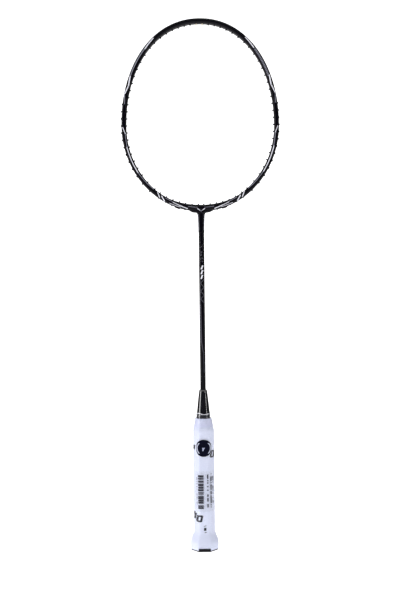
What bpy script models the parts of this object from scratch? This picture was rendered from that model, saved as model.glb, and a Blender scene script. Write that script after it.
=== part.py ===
"""Badminton racket, unstrung, standing on its butt with the string plane in XZ.

Metres, +Z up from the butt to the tip of the head, front face towards -Y.
Every fit is a named clearance, so one size can be changed without opening a joint.
"""

import bisect
import math

import bmesh
import bpy
from mathutils import Vector

MM = 0.001

# Overall
RACKET_LENGTH = 675.0 * MM
FIT_GAP = 0.3 * MM

# Head outline, measured to the outer face of the tube
HEAD_HALF_WIDTH = 100.4 * MM
HEAD_TOP_REACH = 136.0 * MM
HEAD_LOW_REACH = 109.4 * MM
HEAD_TOP_POWER = 2.11
HEAD_LOW_POWER = 2.0
HEAD_CENTRE = RACKET_LENGTH - HEAD_TOP_REACH

# Head tube
FRAME_DEPTH = 10.4 * MM
FRAME_THICK = 6.3 * MM
THROAT_THICK = 8.3 * MM
THROAT_SPREAD = 60.0 * MM
FRAME_WALL = 1.1 * MM
GROOVE_DEPTH = 0.9 * MM
GROOVE_FLOOR = 3.0 * MM
GROOVE_LIP = 4.0 * MM
GROOVE_PAST_STRIP = 2.6 * MM
GROOVE_BEFORE_BEAD = 1.8 * MM
STATIONS = 66
TRACE_STEPS = 1600
POLE_REACH = 0.5 * MM

# Stringing pattern: barrel positions on the inner face
TOP_MAIN_FIRST = 3.9 * MM
TOP_MAINS = 8
TOP_MAIN_PITCH = (0.569 * HEAD_HALF_WIDTH - TOP_MAIN_FIRST) / (TOP_MAINS - 1)
CROSSES = 21
CROSS_TOP = RACKET_LENGTH - 0.27 * HEAD_TOP_REACH
CROSS_PITCH = 0.7318 * (HEAD_TOP_REACH + HEAD_LOW_REACH) / (CROSSES - 1)
LOW_MAIN_FIRST = 3.4 * MM
LOW_MAINS = 7
LOW_MAIN_PITCH = (0.518 * HEAD_HALF_WIDTH - LOW_MAIN_FIRST) / (LOW_MAINS - 1)
GROOVED_CROSSES = 8

# Grommets
BORE_RADIUS = 0.45 * MM
BARREL_RADIUS = 0.85 * MM
BEAD_RADIUS = 1.35 * MM
BEAD_HEIGHT = 0.7 * MM
NUB_LENGTH = 1.3 * MM
BARREL_SIDES = 6
HOLE_RADIUS = BARREL_RADIUS + FIT_GAP / math.cos(math.pi / BARREL_SIDES)
WEB_THICK = 0.5 * MM
WEB_SIDE_GAP = 0.4 * MM
WEB_END = 2.0 * MM
WEB_LIFT = FIT_GAP + 0.05 * MM
STRIP_RISE = 0.25 * MM
TIP_BEAD_RADIUS = GROOVE_FLOOR / 2 - 0.35 * MM
PAD_HOLE = 3
PAD_RISE = 0.5 * MM
PAD_HALF_LENGTH = 2.4 * MM
PAD_SLOPE = 1.2 * MM

# Throat joint and shaft
SHAFT_RADIUS = 3.55 * MM
SHAFT_BORE = 2.5 * MM
SHAFT_LOW_END = 80.0 * MM
COLLAR_LENGTH = 26.0 * MM
SADDLE_GROMMETS = 2
SADDLE_HALF_WIDTH = LOW_MAIN_FIRST + SADDLE_GROMMETS * LOW_MAIN_PITCH - 4.6 * MM
SADDLE_HALF_DEPTH = 4.7 * MM
SADDLE_DROP = 1.6 * MM
POCKET_ROOM = 0.45 * MM
POCKET_DEPTH = FIT_GAP + BEAD_HEIGHT + 0.9 * MM
POCKET_ABOVE = 1.5 * MM
SPIGOT_LENGTH = 30.0 * MM
SPIGOT_RADIUS = SHAFT_BORE - 0.4 * MM
ROUND_SIDES = 16

# Collar, by (share of its length, half width and half depth beyond the shaft's radius)
COLLAR_RINGS = [
    (0.0, 0.3 * MM, 0.3 * MM),
    (0.45, 0.45 * MM, 0.45 * MM),
    (0.82, 0.85 * MM, 0.75 * MM),
    (0.96, 1.65 * MM, 1.05 * MM),
]
# Saddle, by (height above its underside, share of its half width)
SADDLE_RINGS = [
    (0.0, 0.58),
    (0.5 * MM, 0.8),
    (1.6 * MM, 0.93),
    (2.1 * MM, 1.0),
    (4.2 * MM, 1.0),
]

# Cone
CONE_TOP = 202.5 * MM
CONE_BOTTOM = 160.2 * MM
CONE_SHOW_BOTTOM = 166.2 * MM
CONE_TOP_RADIUS = 4.85 * MM
CONE_LOW_RADIUS = 9.15 * MM
CONE_WALL = 1.5 * MM
CONE_LIP = 0.7 * MM
CONE_BELL = 0.85

# Handle
GRIP_HALF_WIDTH = 13.25 * MM
GRIP_HALF_DEPTH = 12.45 * MM
BUTT_HALF_WIDTH = 17.6 * MM
BUTT_HALF_DEPTH = 15.4 * MM
WIDE_SHARE = 0.457
SIDE_SHARE = 0.36
CORNER = 1.3 * MM
FLARE_TOP = 24.0 * MM
FLARE_LOW = 8.5 * MM
GRIP_SHOULDER = 151.0 * MM
BAND_LOW = 155.7 * MM
BAND_TOP = 166.5 * MM
BAND_TOP_HALF = 10.25 * MM
BAND_LOW_HALF = 12.45 * MM
BAND_THICK = 0.6 * MM
GRIP_TOP = 159.4 * MM
GRIP_THICK = 1.7 * MM
NECK_RADIUS = CONE_LOW_RADIUS - CONE_WALL - FIT_GAP - 0.4 * MM
NECK_TOP = 184.0 * MM
NECK_TAPER = 1.9 * MM
NECK_ROOM = 1.5 * MM
BAND_STEP = 0.3 * MM
CORE_TOP_STEP = 0.4 * MM
ROUNDING_TOP = 168.0 * MM

# Butt cap
CAP_HEIGHT = 1.2 * MM
CAP_INSET = 0.35 * MM
CAP_ROUND = 0.3 * MM
TAB_HALF_WIDTH = 7.6 * MM
TAB_HEIGHT = 4.1 * MM
TAB_THICK = 0.6 * MM
TAB_ROOT = 2.0 * MM
BADGE_RADIUS = 10.0 * MM
BADGE_THICK = 0.5 * MM
BADGE_LIFT = 0.1 * MM
BADGE_BEVEL = 0.15 * MM
BADGE_SIDES = 24

# Film and stickers
FILM_THICK = 0.2 * MM
FILM_LOW = 5.0 * MM
FILM_TOP = 173.0 * MM
STICKER_THICK = 0.15 * MM
SEAL_RADIUS = 11.0 * MM
SEAL_HEIGHT = 130.0 * MM
LABEL_LOW = 50.0 * MM
LABEL_TOP = 101.0 * MM
LABEL_LEFT = -13.5 * MM
LABEL_RIGHT = 16.5 * MM


# ---------------------------------------------------------------- scene helpers


def clear_scene():
    for obj in list(bpy.data.objects):
        bpy.data.objects.remove(obj, do_unlink=True)


def collection(name, hidden=False):
    made = bpy.data.collections.new(name)
    bpy.context.scene.collection.children.link(made)
    made.hide_render = hidden
    return made


def material(name, colour, roughness, metallic=0.0):
    made = bpy.data.materials.new(name)
    made.use_nodes = True
    shader = made.node_tree.nodes["Principled BSDF"]
    shader.inputs["Base Color"].default_value = (*colour, 1.0)
    shader.inputs["Roughness"].default_value = roughness
    shader.inputs["Metallic"].default_value = metallic
    made.diffuse_color = (*colour, 1.0)
    return made


CUTTERS = "cutters"
PARTS = "badminton_racket"
BLACK = ((0.012, 0.011, 0.018), 0.25)
WHITE = ((0.70, 0.72, 0.82), 0.55)
LOOKS = {
    "frame_hoop": BLACK,
    "throat_joint": BLACK,
    "shaft": ((0.014, 0.013, 0.020), 0.22),
    "cone": ((0.010, 0.010, 0.014), 0.35),
    "handle_core": ((0.55, 0.38, 0.22), 0.6),
    "butt_cap": ((0.010, 0.010, 0.012), 0.45),
    "end_badge": ((0.35, 0.36, 0.42), 0.35),
    "grip_wrap": WHITE,
    "finishing_band": ((0.42, 0.45, 0.66), 0.4),
    "film_sleeve": ((0.85, 0.87, 0.95), 0.12),
    "round_sticker": ((0.004, 0.006, 0.030), 0.35),
    "print_label": ((0.78, 0.80, 0.88), 0.45),
}
GROMMET_LOOK = ((0.015, 0.014, 0.018), 0.4)
NATURAL_LOOK = ((0.72, 0.62, 0.47), 0.45)


def finish(name, bm, look=None, cutter=False):
    """Closes a bmesh into a named object, facing out."""
    bmesh.ops.remove_doubles(bm, verts=bm.verts, dist=0.000001)
    bmesh.ops.recalc_face_normals(bm, faces=bm.faces)
    mesh = bpy.data.meshes.new(name)
    bm.to_mesh(mesh)
    bm.free()
    obj = bpy.data.objects.new(name, mesh)
    if cutter:
        obj.hide_render = True
        obj.display_type = "WIRE"
    else:
        colour, roughness = look or LOOKS[name]
        mesh.materials.append(material(name, colour, roughness))
    bpy.data.collections[CUTTERS if cutter else PARTS].objects.link(obj)
    return obj


def boolean(obj, other, operation):
    made = obj.modifiers.new(other.name, "BOOLEAN")
    made.operation = operation
    made.solver = "EXACT"
    made.object = other


def add_ring_walls(bm, rings, closed):
    """Joins equal-count rings of points with quads; a closed loft returns to its first ring."""
    rows = [[bm.verts.new(point) for point in ring] for ring in rings]
    pairs = list(zip(rows, rows[1:]))
    if closed:
        pairs.append((rows[-1], rows[0]))
    for low, high in pairs:
        for i in range(len(low)):
            j = (i + 1) % len(low)
            bm.faces.new((low[i], low[j], high[j], high[i]))
    if not closed:
        bm.faces.new(list(reversed(rows[0])))
        bm.faces.new(rows[-1])


def loft(name, rings, closed=False, look=None, cutter=False):
    bm = bmesh.new()
    add_ring_walls(bm, rings, closed)
    return finish(name, bm, look, cutter)


def lofts(name, many, closed=False):
    """Several separate lofts in one cutter object."""
    bm = bmesh.new()
    for rings in many:
        add_ring_walls(bm, rings, closed)
    return finish(name, bm, cutter=True)


def turned(name, profile, sides=ROUND_SIDES, look=None, cutter=False):
    """Revolves a closed profile of (radius, height) points about +Z with a Screw modifier."""
    bm = bmesh.new()
    points = [bm.verts.new((radius, 0.0, height)) for radius, height in profile]
    for first, second in zip(points, points[1:] + points[:1]):
        if first.co.x > 0 or second.co.x > 0:
            bm.edges.new((first, second))
    mesh = bpy.data.meshes.new(name)
    bm.to_mesh(mesh)
    bm.free()
    obj = bpy.data.objects.new(name, mesh)
    screw = obj.modifiers.new("revolve", "SCREW")
    screw.steps = sides
    screw.render_steps = sides
    screw.use_merge_vertices = True
    screw.merge_threshold = 0.00001
    if cutter:
        obj.hide_render = True
        obj.display_type = "WIRE"
    else:
        colour, roughness = look or LOOKS[name]
        mesh.materials.append(material(name, colour, roughness))
    bpy.data.collections[CUTTERS if cutter else PARTS].objects.link(obj)
    return obj


def prism_ring(centre, axis, radius, sides):
    """A ring of points square to an axis that lies in the string plane."""
    depthwise = Vector((0.0, 1.0, 0.0))
    across = axis.cross(depthwise).normalized()
    turns = [2 * math.pi * (i + 0.5) / sides for i in range(sides)]
    return [
        centre + (depthwise * math.cos(turn) + across * math.sin(turn)) * radius
        for turn in turns
    ]


# ---------------------------------------------------------------- head outline


def head_point(angle):
    """The outer line of the head, by angle from the tip, +X side first."""
    up, across = math.cos(angle), math.sin(angle)
    if up >= 0:
        reach, power = HEAD_TOP_REACH, HEAD_TOP_POWER
    else:
        reach, power = HEAD_LOW_REACH, HEAD_LOW_POWER
    x = HEAD_HALF_WIDTH * abs(across) ** (2 / power)
    z = math.copysign(reach * abs(up) ** (2 / power), up)
    return Vector((x, 0.0, HEAD_CENTRE + z))


TRACE = [head_point(math.pi * i / TRACE_STEPS) for i in range(TRACE_STEPS + 1)]
TRAVEL = [0.0]
for before, after in zip(TRACE, TRACE[1:]):
    TRAVEL.append(TRAVEL[-1] + (after - before).length)
HALF_ROUND = TRAVEL[-1]


def head_frame(distance):
    """(point, outward normal) on the outer line, by distance round from the tip."""
    distance = distance % (2 * HALF_ROUND)
    left = distance > HALF_ROUND
    if left:
        distance = 2 * HALF_ROUND - distance
    i = min(max(bisect.bisect_right(TRAVEL, distance) - 1, 0), len(TRACE) - 2)
    share = (distance - TRAVEL[i]) / (TRAVEL[i + 1] - TRAVEL[i])
    point = TRACE[i].lerp(TRACE[i + 1], share)
    low, high = TRACE[max(i - 3, 0)], TRACE[min(i + 4, len(TRACE) - 1)]
    along = (high - low).normalized()
    if min(distance, HALF_ROUND - distance) < POLE_REACH:
        along = Vector((1.0 if distance < POLE_REACH else -1.0, 0.0, 0.0))
    normal = Vector((-along.z, 0.0, along.x))
    if left:
        point, normal = Vector((-point.x, 0, point.z)), Vector((-normal.x, 0, normal.z))
    return point, normal


def ease(share):
    share = min(max(share, 0.0), 1.0)
    return share * share * (3 - 2 * share)


def frame_thick(distance):
    """The tube's radial thickness, which grows towards the throat."""
    away = abs(HALF_ROUND - distance % (2 * HALF_ROUND))
    return FRAME_THICK + (THROAT_THICK - FRAME_THICK) * ease(1 - away / THROAT_SPREAD)


def inner_point(distance):
    point, normal = head_frame(distance)
    return point - normal * frame_thick(distance)


def distance_where(axis, target, start, end):
    """The distance from start to end at which the inner face has this x or z."""
    rising = inner_point(end)[axis] > inner_point(start)[axis]
    for _ in range(40):
        middle = (start + end) / 2
        if (inner_point(middle)[axis] < target) == rising:
            start = middle
        else:
            end = middle
    return (start + end) / 2


WIDEST = distance_where(2, HEAD_CENTRE, 0.0, HALF_ROUND)
ACROSS, DOWN = Vector((1.0, 0.0, 0.0)), Vector((0.0, 0.0, -1.0))
TOP_MAIN_SPOTS = [
    (distance_where(0, TOP_MAIN_FIRST + i * TOP_MAIN_PITCH, 0.0, WIDEST), DOWN)
    for i in range(TOP_MAINS)
]
CROSS_SPOTS = [
    (distance_where(2, CROSS_TOP - i * CROSS_PITCH, 0.0, HALF_ROUND), -ACROSS)
    for i in range(CROSSES)
]
LOW_MAIN_SPOTS = [
    (distance_where(0, LOW_MAIN_FIRST + i * LOW_MAIN_PITCH, WIDEST, HALF_ROUND), -DOWN)
    for i in range(LOW_MAINS)
]
GROOVE_FULL_END = CROSS_SPOTS[GROOVED_CROSSES - 1][0] + GROOVE_PAST_STRIP
GROOVE_CLEAR = CROSS_SPOTS[GROOVED_CROSSES][0] - GROOVE_BEFORE_BEAD


class Spot:
    """One string hole: where its axis meets the outer face, which way it runs in, how long it is."""

    def __init__(self, distance, string_way, side):
        point, normal = head_frame(distance)
        inner = inner_point(distance)
        self.way = (string_way - normal).normalized()
        lean = -self.way.dot(normal)
        self.lean = math.tan(math.acos(min(lean, 1.0)))
        self.length = frame_thick(distance) / lean
        self.outer = inner - self.way * self.length
        if side < 0:
            self.way = Vector((-self.way.x, 0.0, self.way.z))
            self.outer = Vector((-self.outer.x, 0.0, self.outer.z))

    def at(self, depth):
        return self.outer + self.way * depth

    def prism(self, start, end, radius):
        return [
            prism_ring(self.at(start), self.way, radius, BARREL_SIDES),
            prism_ring(self.at(end), self.way, radius, BARREL_SIDES),
        ]


def spots(row, side):
    return [Spot(distance, way, side) for distance, way in row]


# ---------------------------------------------------------------- head tube


def groove_depth(distance):
    away = min(distance % (2 * HALF_ROUND), -distance % (2 * HALF_ROUND))
    return GROOVE_DEPTH * (1 - ease((away - GROOVE_FULL_END) / (GROOVE_CLEAR - GROOVE_FULL_END)))


def tube_section(distance, grooved=True):
    """(outward, depthwise) corners of the tube, from the front round the inside to the back."""
    groove = groove_depth(distance) if grooved else 0.0
    thick, half = frame_thick(distance), FRAME_DEPTH / 2
    side = [
        (-groove, GROOVE_FLOOR / 2),
        (0.0, GROOVE_LIP / 2),
        (-0.03 * thick, 0.64 * half),
        (-0.24 * thick, 0.93 * half),
        (-0.54 * thick, half),
        (-0.80 * thick, 0.83 * half),
        (-thick, 0.42 * half),
    ]
    return side + [(out, -depth) for out, depth in reversed(side)]


def cavity_section(distance):
    thick, half = frame_thick(distance), FRAME_DEPTH / 2
    side = [
        (-GROOVE_DEPTH - FRAME_WALL, 0.4 * half),
        (-0.52 * thick, half - FRAME_WALL),
        (FRAME_WALL - thick, 0.33 * half),
    ]
    return side + [(out, -depth) for out, depth in reversed(side)]


def grown(points, amount):
    """A convex outline with every side moved out by an amount, corners mitred."""
    count = len(points)
    area = sum(
        points[i][0] * points[(i + 1) % count][1] - points[(i + 1) % count][0] * points[i][1]
        for i in range(count)
    )
    turn = 1 if area > 0 else -1
    made = []
    for i, (x, y) in enumerate(points):
        before, after = points[i - 1], points[(i + 1) % count]
        normals = []
        for (ax, ay), (bx, by) in ((before, (x, y)), ((x, y), after)):
            length = math.hypot(bx - ax, by - ay)
            normals.append(((by - ay) / length * turn, (ax - bx) / length * turn))
        (nx, ny), (mx, my) = normals
        scale = amount / (1 + nx * mx + ny * my)
        made.append((x + (nx + mx) * scale, y + (ny + my) * scale))
    return made


def head_ring(distance, section):
    point, normal = head_frame(distance)
    return [point + normal * out + Vector((0.0, depth, 0.0)) for out, depth in section]


def head_stations():
    """Even stations, with the groove's two ends added on each side."""
    even = [2 * HALF_ROUND * i / STATIONS for i in range(STATIONS)]
    marks = [GROOVE_FULL_END, GROOVE_CLEAR]
    marks += [2 * HALF_ROUND - mark for mark in marks]
    kept = [one for one in even if min(abs(one - mark) for mark in marks) > 3 * MM]
    return sorted(kept + marks)


def build_frame():
    stations = head_stations()
    hoop = loft("frame_hoop", [head_ring(d, tube_section(d)) for d in stations], closed=True)
    cavity = loft(
        "frame_cavity",
        [head_ring(d, cavity_section(d)) for d in stations],
        closed=True,
        cutter=True,
    )
    rows = TOP_MAIN_SPOTS + CROSS_SPOTS + LOW_MAIN_SPOTS
    holes = lofts(
        "string_holes",
        [
            spot.prism(-2 * MM, spot.length + 2 * MM, HOLE_RADIUS)
            for side in (1, -1)
            for spot in spots(rows, side)
        ],
    )
    boolean(hoop, cavity, "DIFFERENCE")
    boolean(hoop, holes, "DIFFERENCE")
    return stations


# ---------------------------------------------------------------- grommets


def single_grommet(name, spot, bead_radius, bead_bottom, look=GROMMET_LOOK):
    """A barrel with a bead outside the tube and a nub inside it."""
    bead_top = bead_bottom - BEAD_HEIGHT
    end = spot.length + NUB_LENGTH
    walls = [
        (bead_top, 0.72 * bead_radius),
        (bead_top + 0.55 * BEAD_HEIGHT, bead_radius),
        (bead_bottom, bead_radius),
        (bead_bottom, BARREL_RADIUS),
        (end, BARREL_RADIUS),
        (end, BORE_RADIUS),
        (bead_top, BORE_RADIUS),
    ]
    rings = [
        prism_ring(spot.at(depth), spot.way, radius, BARREL_SIDES) for depth, radius in walls
    ]
    return loft(name, rings, closed=True, look=look)


def grommet_strip(name, row, side, bottom, padded=None):
    """Barrels in a row on one web; bottom is the web's underside above the outer face.

    The web is thicker over the hole whose distance is given as padded.
    """
    marks = [(row[0][0] - WEB_END, 0.0), (row[-1][0] + WEB_END, 0.0)]
    marks += [((a[0] + b[0]) / 2, 0.0) for a, b in zip(row, row[1:])]
    if padded:
        for way in (-1, 1):
            marks.append((padded + way * PAD_HALF_LENGTH, PAD_RISE))
            marks.append((padded + way * (PAD_HALF_LENGTH + PAD_SLOPE), 0.0))
    half = GROOVE_FLOOR / 2 - WEB_SIDE_GAP
    rings = []
    for mark, extra in sorted(marks):
        top = bottom + WEB_THICK + extra
        section = [(bottom, half), (top, 0.8 * half), (top, -0.8 * half), (bottom, -half)]
        rings.append(head_ring(mark, section))
    if side < 0:
        rings = [[Vector((-p.x, p.y, p.z)) for p in ring] for ring in rings]
    strip = loft(name, rings, look=GROMMET_LOOK)
    top = -(bottom + WEB_THICK + STRIP_RISE)
    holes = spots(row, side)
    barrels = lofts(
        name + "_barrels",
        [spot.prism(top, spot.length + NUB_LENGTH, BARREL_RADIUS) for spot in holes],
    )
    bores = lofts(
        name + "_bores",
        [spot.prism(top - 3 * MM, spot.length + 3 * MM, BORE_RADIUS) for spot in holes],
    )
    boolean(strip, barrels, "UNION")
    boolean(strip, bores, "DIFFERENCE")


def build_grommets():
    in_groove = FIT_GAP - GROOVE_DEPTH
    for side, word in ((1, "right"), (-1, "left")):
        centre, *mains = TOP_MAIN_SPOTS
        single_grommet(
            f"top_grommet_{word}",
            Spot(*centre, side),
            TIP_BEAD_RADIUS,
            -in_groove,
            NATURAL_LOOK,
        )
        grommet_strip(f"top_strip_{word}", mains, side, in_groove)
        grommet_strip(f"shoulder_strip_{word}", CROSS_SPOTS[:GROOVED_CROSSES], side, in_groove)
        for number, row in enumerate(CROSS_SPOTS[GROOVED_CROSSES:], 1):
            spot = Spot(*row, side)
            lift = FIT_GAP + BEAD_RADIUS * spot.lean
            single_grommet(f"side_grommet_{word}_{number:02d}", spot, BEAD_RADIUS, -lift)
        for number, row in enumerate(LOW_MAIN_SPOTS[:SADDLE_GROMMETS], 1):
            spot = Spot(*row, side)
            lift = WEB_LIFT + BEAD_RADIUS * spot.lean
            single_grommet(f"throat_grommet_{word}_{number}", spot, BEAD_RADIUS, -lift)
        mains = LOW_MAIN_SPOTS[SADDLE_GROMMETS:]
        grommet_strip(
            f"throat_strip_{word}", mains[::-1], side, WEB_LIFT, LOW_MAIN_SPOTS[PAD_HOLE][0]
        )


# ---------------------------------------------------------------- throat and shaft


def oval_ring(half_width, half_depth, height, sides=ROUND_SIDES):
    turns = [2 * math.pi * (i + 0.5) / sides for i in range(sides)]
    return [
        Vector((half_width * math.cos(turn), half_depth * math.sin(turn), height))
        for turn in turns
    ]


def build_throat_and_shaft(stations):
    hoop_low = HEAD_CENTRE - HEAD_LOW_REACH
    saddle_low = hoop_low - SADDLE_DROP
    collar_low = saddle_low - COLLAR_LENGTH
    rings = [
        oval_ring(SPIGOT_RADIUS, SPIGOT_RADIUS, collar_low - SPIGOT_LENGTH),
        oval_ring(SPIGOT_RADIUS, SPIGOT_RADIUS, collar_low),
    ]
    rings += [
        oval_ring(SHAFT_RADIUS + wide, SHAFT_RADIUS + deep, collar_low + share * COLLAR_LENGTH)
        for share, wide, deep in COLLAR_RINGS
    ]
    rings += [
        oval_ring(share * SADDLE_HALF_WIDTH, SADDLE_HALF_DEPTH, saddle_low + rise)
        for rise, share in SADDLE_RINGS
    ]
    joint = loft("throat_joint", rings)
    clearance = loft(
        "saddle_cut",
        [head_ring(d, grown(tube_section(d, grooved=False), FIT_GAP)) for d in stations],
        closed=True,
        cutter=True,
    )
    pockets = lofts(
        "bead_pockets",
        [
            Spot(*row, side).prism(-POCKET_DEPTH, POCKET_ABOVE, BEAD_RADIUS + POCKET_ROOM)
            for side in (1, -1)
            for row in LOW_MAIN_SPOTS[:SADDLE_GROMMETS]
        ],
    )
    boolean(joint, clearance, "DIFFERENCE")
    boolean(joint, pockets, "DIFFERENCE")

    shaft_top = collar_low - FIT_GAP
    turned(
        "shaft",
        [
            (SHAFT_RADIUS, shaft_top),
            (SHAFT_RADIUS, SHAFT_LOW_END),
            (SHAFT_BORE, SHAFT_LOW_END),
            (SHAFT_BORE, shaft_top),
        ],
    )


def cone_radius(height):
    """The cone's outside, which bells out a little faster near its top."""
    share = (CONE_TOP - height) / (CONE_TOP - CONE_SHOW_BOTTOM)
    return CONE_TOP_RADIUS + (CONE_LOW_RADIUS - CONE_TOP_RADIUS) * min(share, 1.0) ** CONE_BELL


def build_cone():
    neck_room = NECK_TOP + NECK_ROOM
    outside = [CONE_TOP - step * (CONE_TOP - CONE_SHOW_BOTTOM) / 5 for step in range(1, 6)]
    profile = [(CONE_TOP_RADIUS - CONE_LIP, CONE_TOP), (CONE_TOP_RADIUS, CONE_TOP - CONE_LIP)]
    profile += [(cone_radius(height), height) for height in outside]
    profile += [
        (CONE_LOW_RADIUS, CONE_BOTTOM),
        (CONE_LOW_RADIUS - CONE_WALL, CONE_BOTTOM),
        (min(CONE_LOW_RADIUS, cone_radius(neck_room)) - CONE_WALL, neck_room),
        (SHAFT_RADIUS + FIT_GAP, neck_room),
        (SHAFT_RADIUS + FIT_GAP, CONE_TOP),
    ]
    turned("cone", profile)


# ---------------------------------------------------------------- handle


def flare(height):
    return ease((FLARE_TOP - height) / (FLARE_TOP - FLARE_LOW))


def roundness(height):
    """0 where the grip is an octagon, 1 where it has run out into the round cone."""
    return ease((height - GRIP_SHOULDER) / (ROUNDING_TOP - GRIP_SHOULDER))


def handle_outline(height, half_width):
    """An octagon with wide front and back faces, blended towards a circle near the cone."""
    mix = flare(height)
    shallow = (GRIP_HALF_WIDTH - GRIP_HALF_DEPTH) * (1 - mix)
    shallow += (BUTT_HALF_WIDTH - BUTT_HALF_DEPTH) * mix
    half_depth = half_width - shallow
    wide, narrow = WIDE_SHARE * half_width, SIDE_SHARE * half_depth
    corners = [
        (wide, -half_depth),
        (half_width, -narrow),
        (half_width, narrow),
        (wide, half_depth),
        (-wide, half_depth),
        (-half_width, narrow),
        (-half_width, -narrow),
        (-wide, -half_depth),
    ]
    made = []
    for i, (x, y) in enumerate(corners):
        for other in (corners[i - 1], corners[(i + 1) % 8]):
            length = math.hypot(other[0] - x, other[1] - y)
            share = CORNER / length
            made.append((x + (other[0] - x) * share, y + (other[1] - y) * share))
    turn_to_round = roundness(height)
    blended = []
    for i, (x, y) in enumerate(made):
        angle = math.pi * (i + 0.5) / 8 - math.pi / 2
        round_x, round_y = half_width * math.cos(angle), half_width * math.sin(angle)
        blended.append((x + (round_x - x) * turn_to_round, y + (round_y - y) * turn_to_round))
    return blended


def ring_at(height, outline):
    return [Vector((x, y, height)) for x, y in outline]


def grip_half_width(height):
    straight = GRIP_HALF_WIDTH + (BUTT_HALF_WIDTH - GRIP_HALF_WIDTH) * flare(height)
    if height <= GRIP_SHOULDER:
        return straight
    under_band = BAND_LOW - BAND_STEP
    if height <= under_band:
        share = (height - GRIP_SHOULDER) / (under_band - GRIP_SHOULDER)
        return GRIP_HALF_WIDTH + (BAND_LOW_HALF - BAND_STEP - GRIP_HALF_WIDTH) * share
    return band_half_width(height) - BAND_THICK - FIT_GAP - 0.1 * MM


def band_half_width(height):
    share = (height - BAND_LOW) / (BAND_TOP - BAND_LOW)
    return BAND_LOW_HALF + (BAND_TOP_HALF - BAND_LOW_HALF) * share


def grip_outline(height, inward=0.0):
    outline = handle_outline(height, grip_half_width(height))
    return grown(outline, -inward) if inward else outline


def sleeve(name, heights, outline, thick, look=None):
    """A tube that follows an outline by height, its inside set in by a thickness."""
    rings = [ring_at(height, outline(height)) for height in heights]
    rings += [ring_at(height, grown(outline(height), -thick)) for height in heights[::-1]]
    return loft(name, rings, closed=True, look=look)


def build_handle():
    steps = 5
    flare_heights = [FLARE_LOW + (FLARE_TOP - FLARE_LOW) * i / steps for i in range(steps + 1)]
    grip_low = CAP_HEIGHT + FIT_GAP
    grip_heights = [grip_low, *flare_heights, GRIP_SHOULDER]
    grip_heights += [BAND_LOW - BAND_STEP, BAND_LOW - BAND_STEP / 2, GRIP_TOP]
    sleeve("grip_wrap", grip_heights, grip_outline, GRIP_THICK)

    inward = GRIP_THICK + FIT_GAP
    core_heights = [grip_low, *flare_heights, GRIP_SHOULDER, BAND_LOW]
    core_top = GRIP_TOP + CORE_TOP_STEP
    rings = [ring_at(height, grip_outline(height, inward)) for height in core_heights]
    rings.append(ring_at(core_top, grip_outline(core_top, inward + 0.2 * MM)))
    neck = [
        (x * NECK_RADIUS / math.hypot(x, y), y * NECK_RADIUS / math.hypot(x, y))
        for x, y in grip_outline(core_top)
    ]
    rings.append(ring_at(core_top, neck))
    rings.append(ring_at(NECK_TOP, grown(neck, -NECK_TAPER)))
    core = loft("handle_core", rings)
    bore = turned(
        "shaft_bore",
        [
            (0.0, NECK_TOP + 2 * MM),
            (SHAFT_RADIUS + FIT_GAP, NECK_TOP + 2 * MM),
            (SHAFT_RADIUS + FIT_GAP, SHAFT_LOW_END - FIT_GAP),
            (0.0, SHAFT_LOW_END - FIT_GAP),
        ],
        cutter=True,
    )
    boolean(core, bore, "DIFFERENCE")

    sleeve(
        "finishing_band",
        [BAND_LOW, (BAND_LOW + BAND_TOP) / 2, BAND_TOP],
        lambda height: handle_outline(height, band_half_width(height)),
        BAND_THICK,
    )


def build_butt():
    outline = grown(handle_outline(0.0, BUTT_HALF_WIDTH), -CAP_INSET)
    cap = loft(
        "butt_cap",
        [
            ring_at(0.0, grown(outline, -CAP_ROUND)),
            ring_at(CAP_ROUND, outline),
            ring_at(CAP_HEIGHT, outline),
        ],
    )
    inner, outer = BUTT_HALF_DEPTH + FIT_GAP, BUTT_HALF_DEPTH + FIT_GAP + TAB_THICK
    root_top = CAP_HEIGHT - BADGE_LIFT
    tabs = []
    for way in (-1, 1):
        profile = [
            (outer, CAP_ROUND),
            (outer, TAB_HEIGHT),
            (inner, TAB_HEIGHT),
            (inner, root_top),
            (inner - TAB_ROOT, root_top),
            (inner - TAB_ROOT, CAP_ROUND),
        ]
        tabs.append(
            [
                [Vector((x, way * depth, height)) for depth, height in profile]
                for x in (-TAB_HALF_WIDTH, TAB_HALF_WIDTH)
            ]
        )
    boolean(cap, lofts("cap_tabs", tabs), "UNION")
    recess_radius = BADGE_RADIUS + FIT_GAP + BADGE_LIFT
    recess_depth = BADGE_LIFT + BADGE_THICK + FIT_GAP
    recess = turned(
        "badge_recess",
        [
            (0.0, recess_depth),
            (recess_radius, recess_depth),
            (recess_radius, -recess_depth),
            (0.0, -recess_depth),
        ],
        sides=BADGE_SIDES,
        cutter=True,
    )
    boolean(cap, recess, "DIFFERENCE")
    turned(
        "end_badge",
        [
            (0.0, BADGE_LIFT + BADGE_THICK),
            (BADGE_RADIUS, BADGE_LIFT + BADGE_THICK),
            (BADGE_RADIUS, BADGE_LIFT + BADGE_BEVEL),
            (BADGE_RADIUS - BADGE_BEVEL, BADGE_LIFT),
            (0.0, BADGE_LIFT),
        ],
        sides=BADGE_SIDES,
    )


# ---------------------------------------------------------------- film and stickers


def film_half_width(height):
    if height <= GRIP_SHOULDER:
        return grip_half_width(height) + FIT_GAP + FILM_THICK
    if height <= BAND_TOP:
        return band_half_width(height) + FIT_GAP + FILM_THICK + 0.15 * MM
    return cone_radius(height) + FIT_GAP + FILM_THICK + 0.4 * MM


def film_outline(height):
    if height > GRIP_SHOULDER:
        return handle_outline(height, film_half_width(height))
    return grown(grip_outline(height), FIT_GAP + FILM_THICK)


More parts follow.
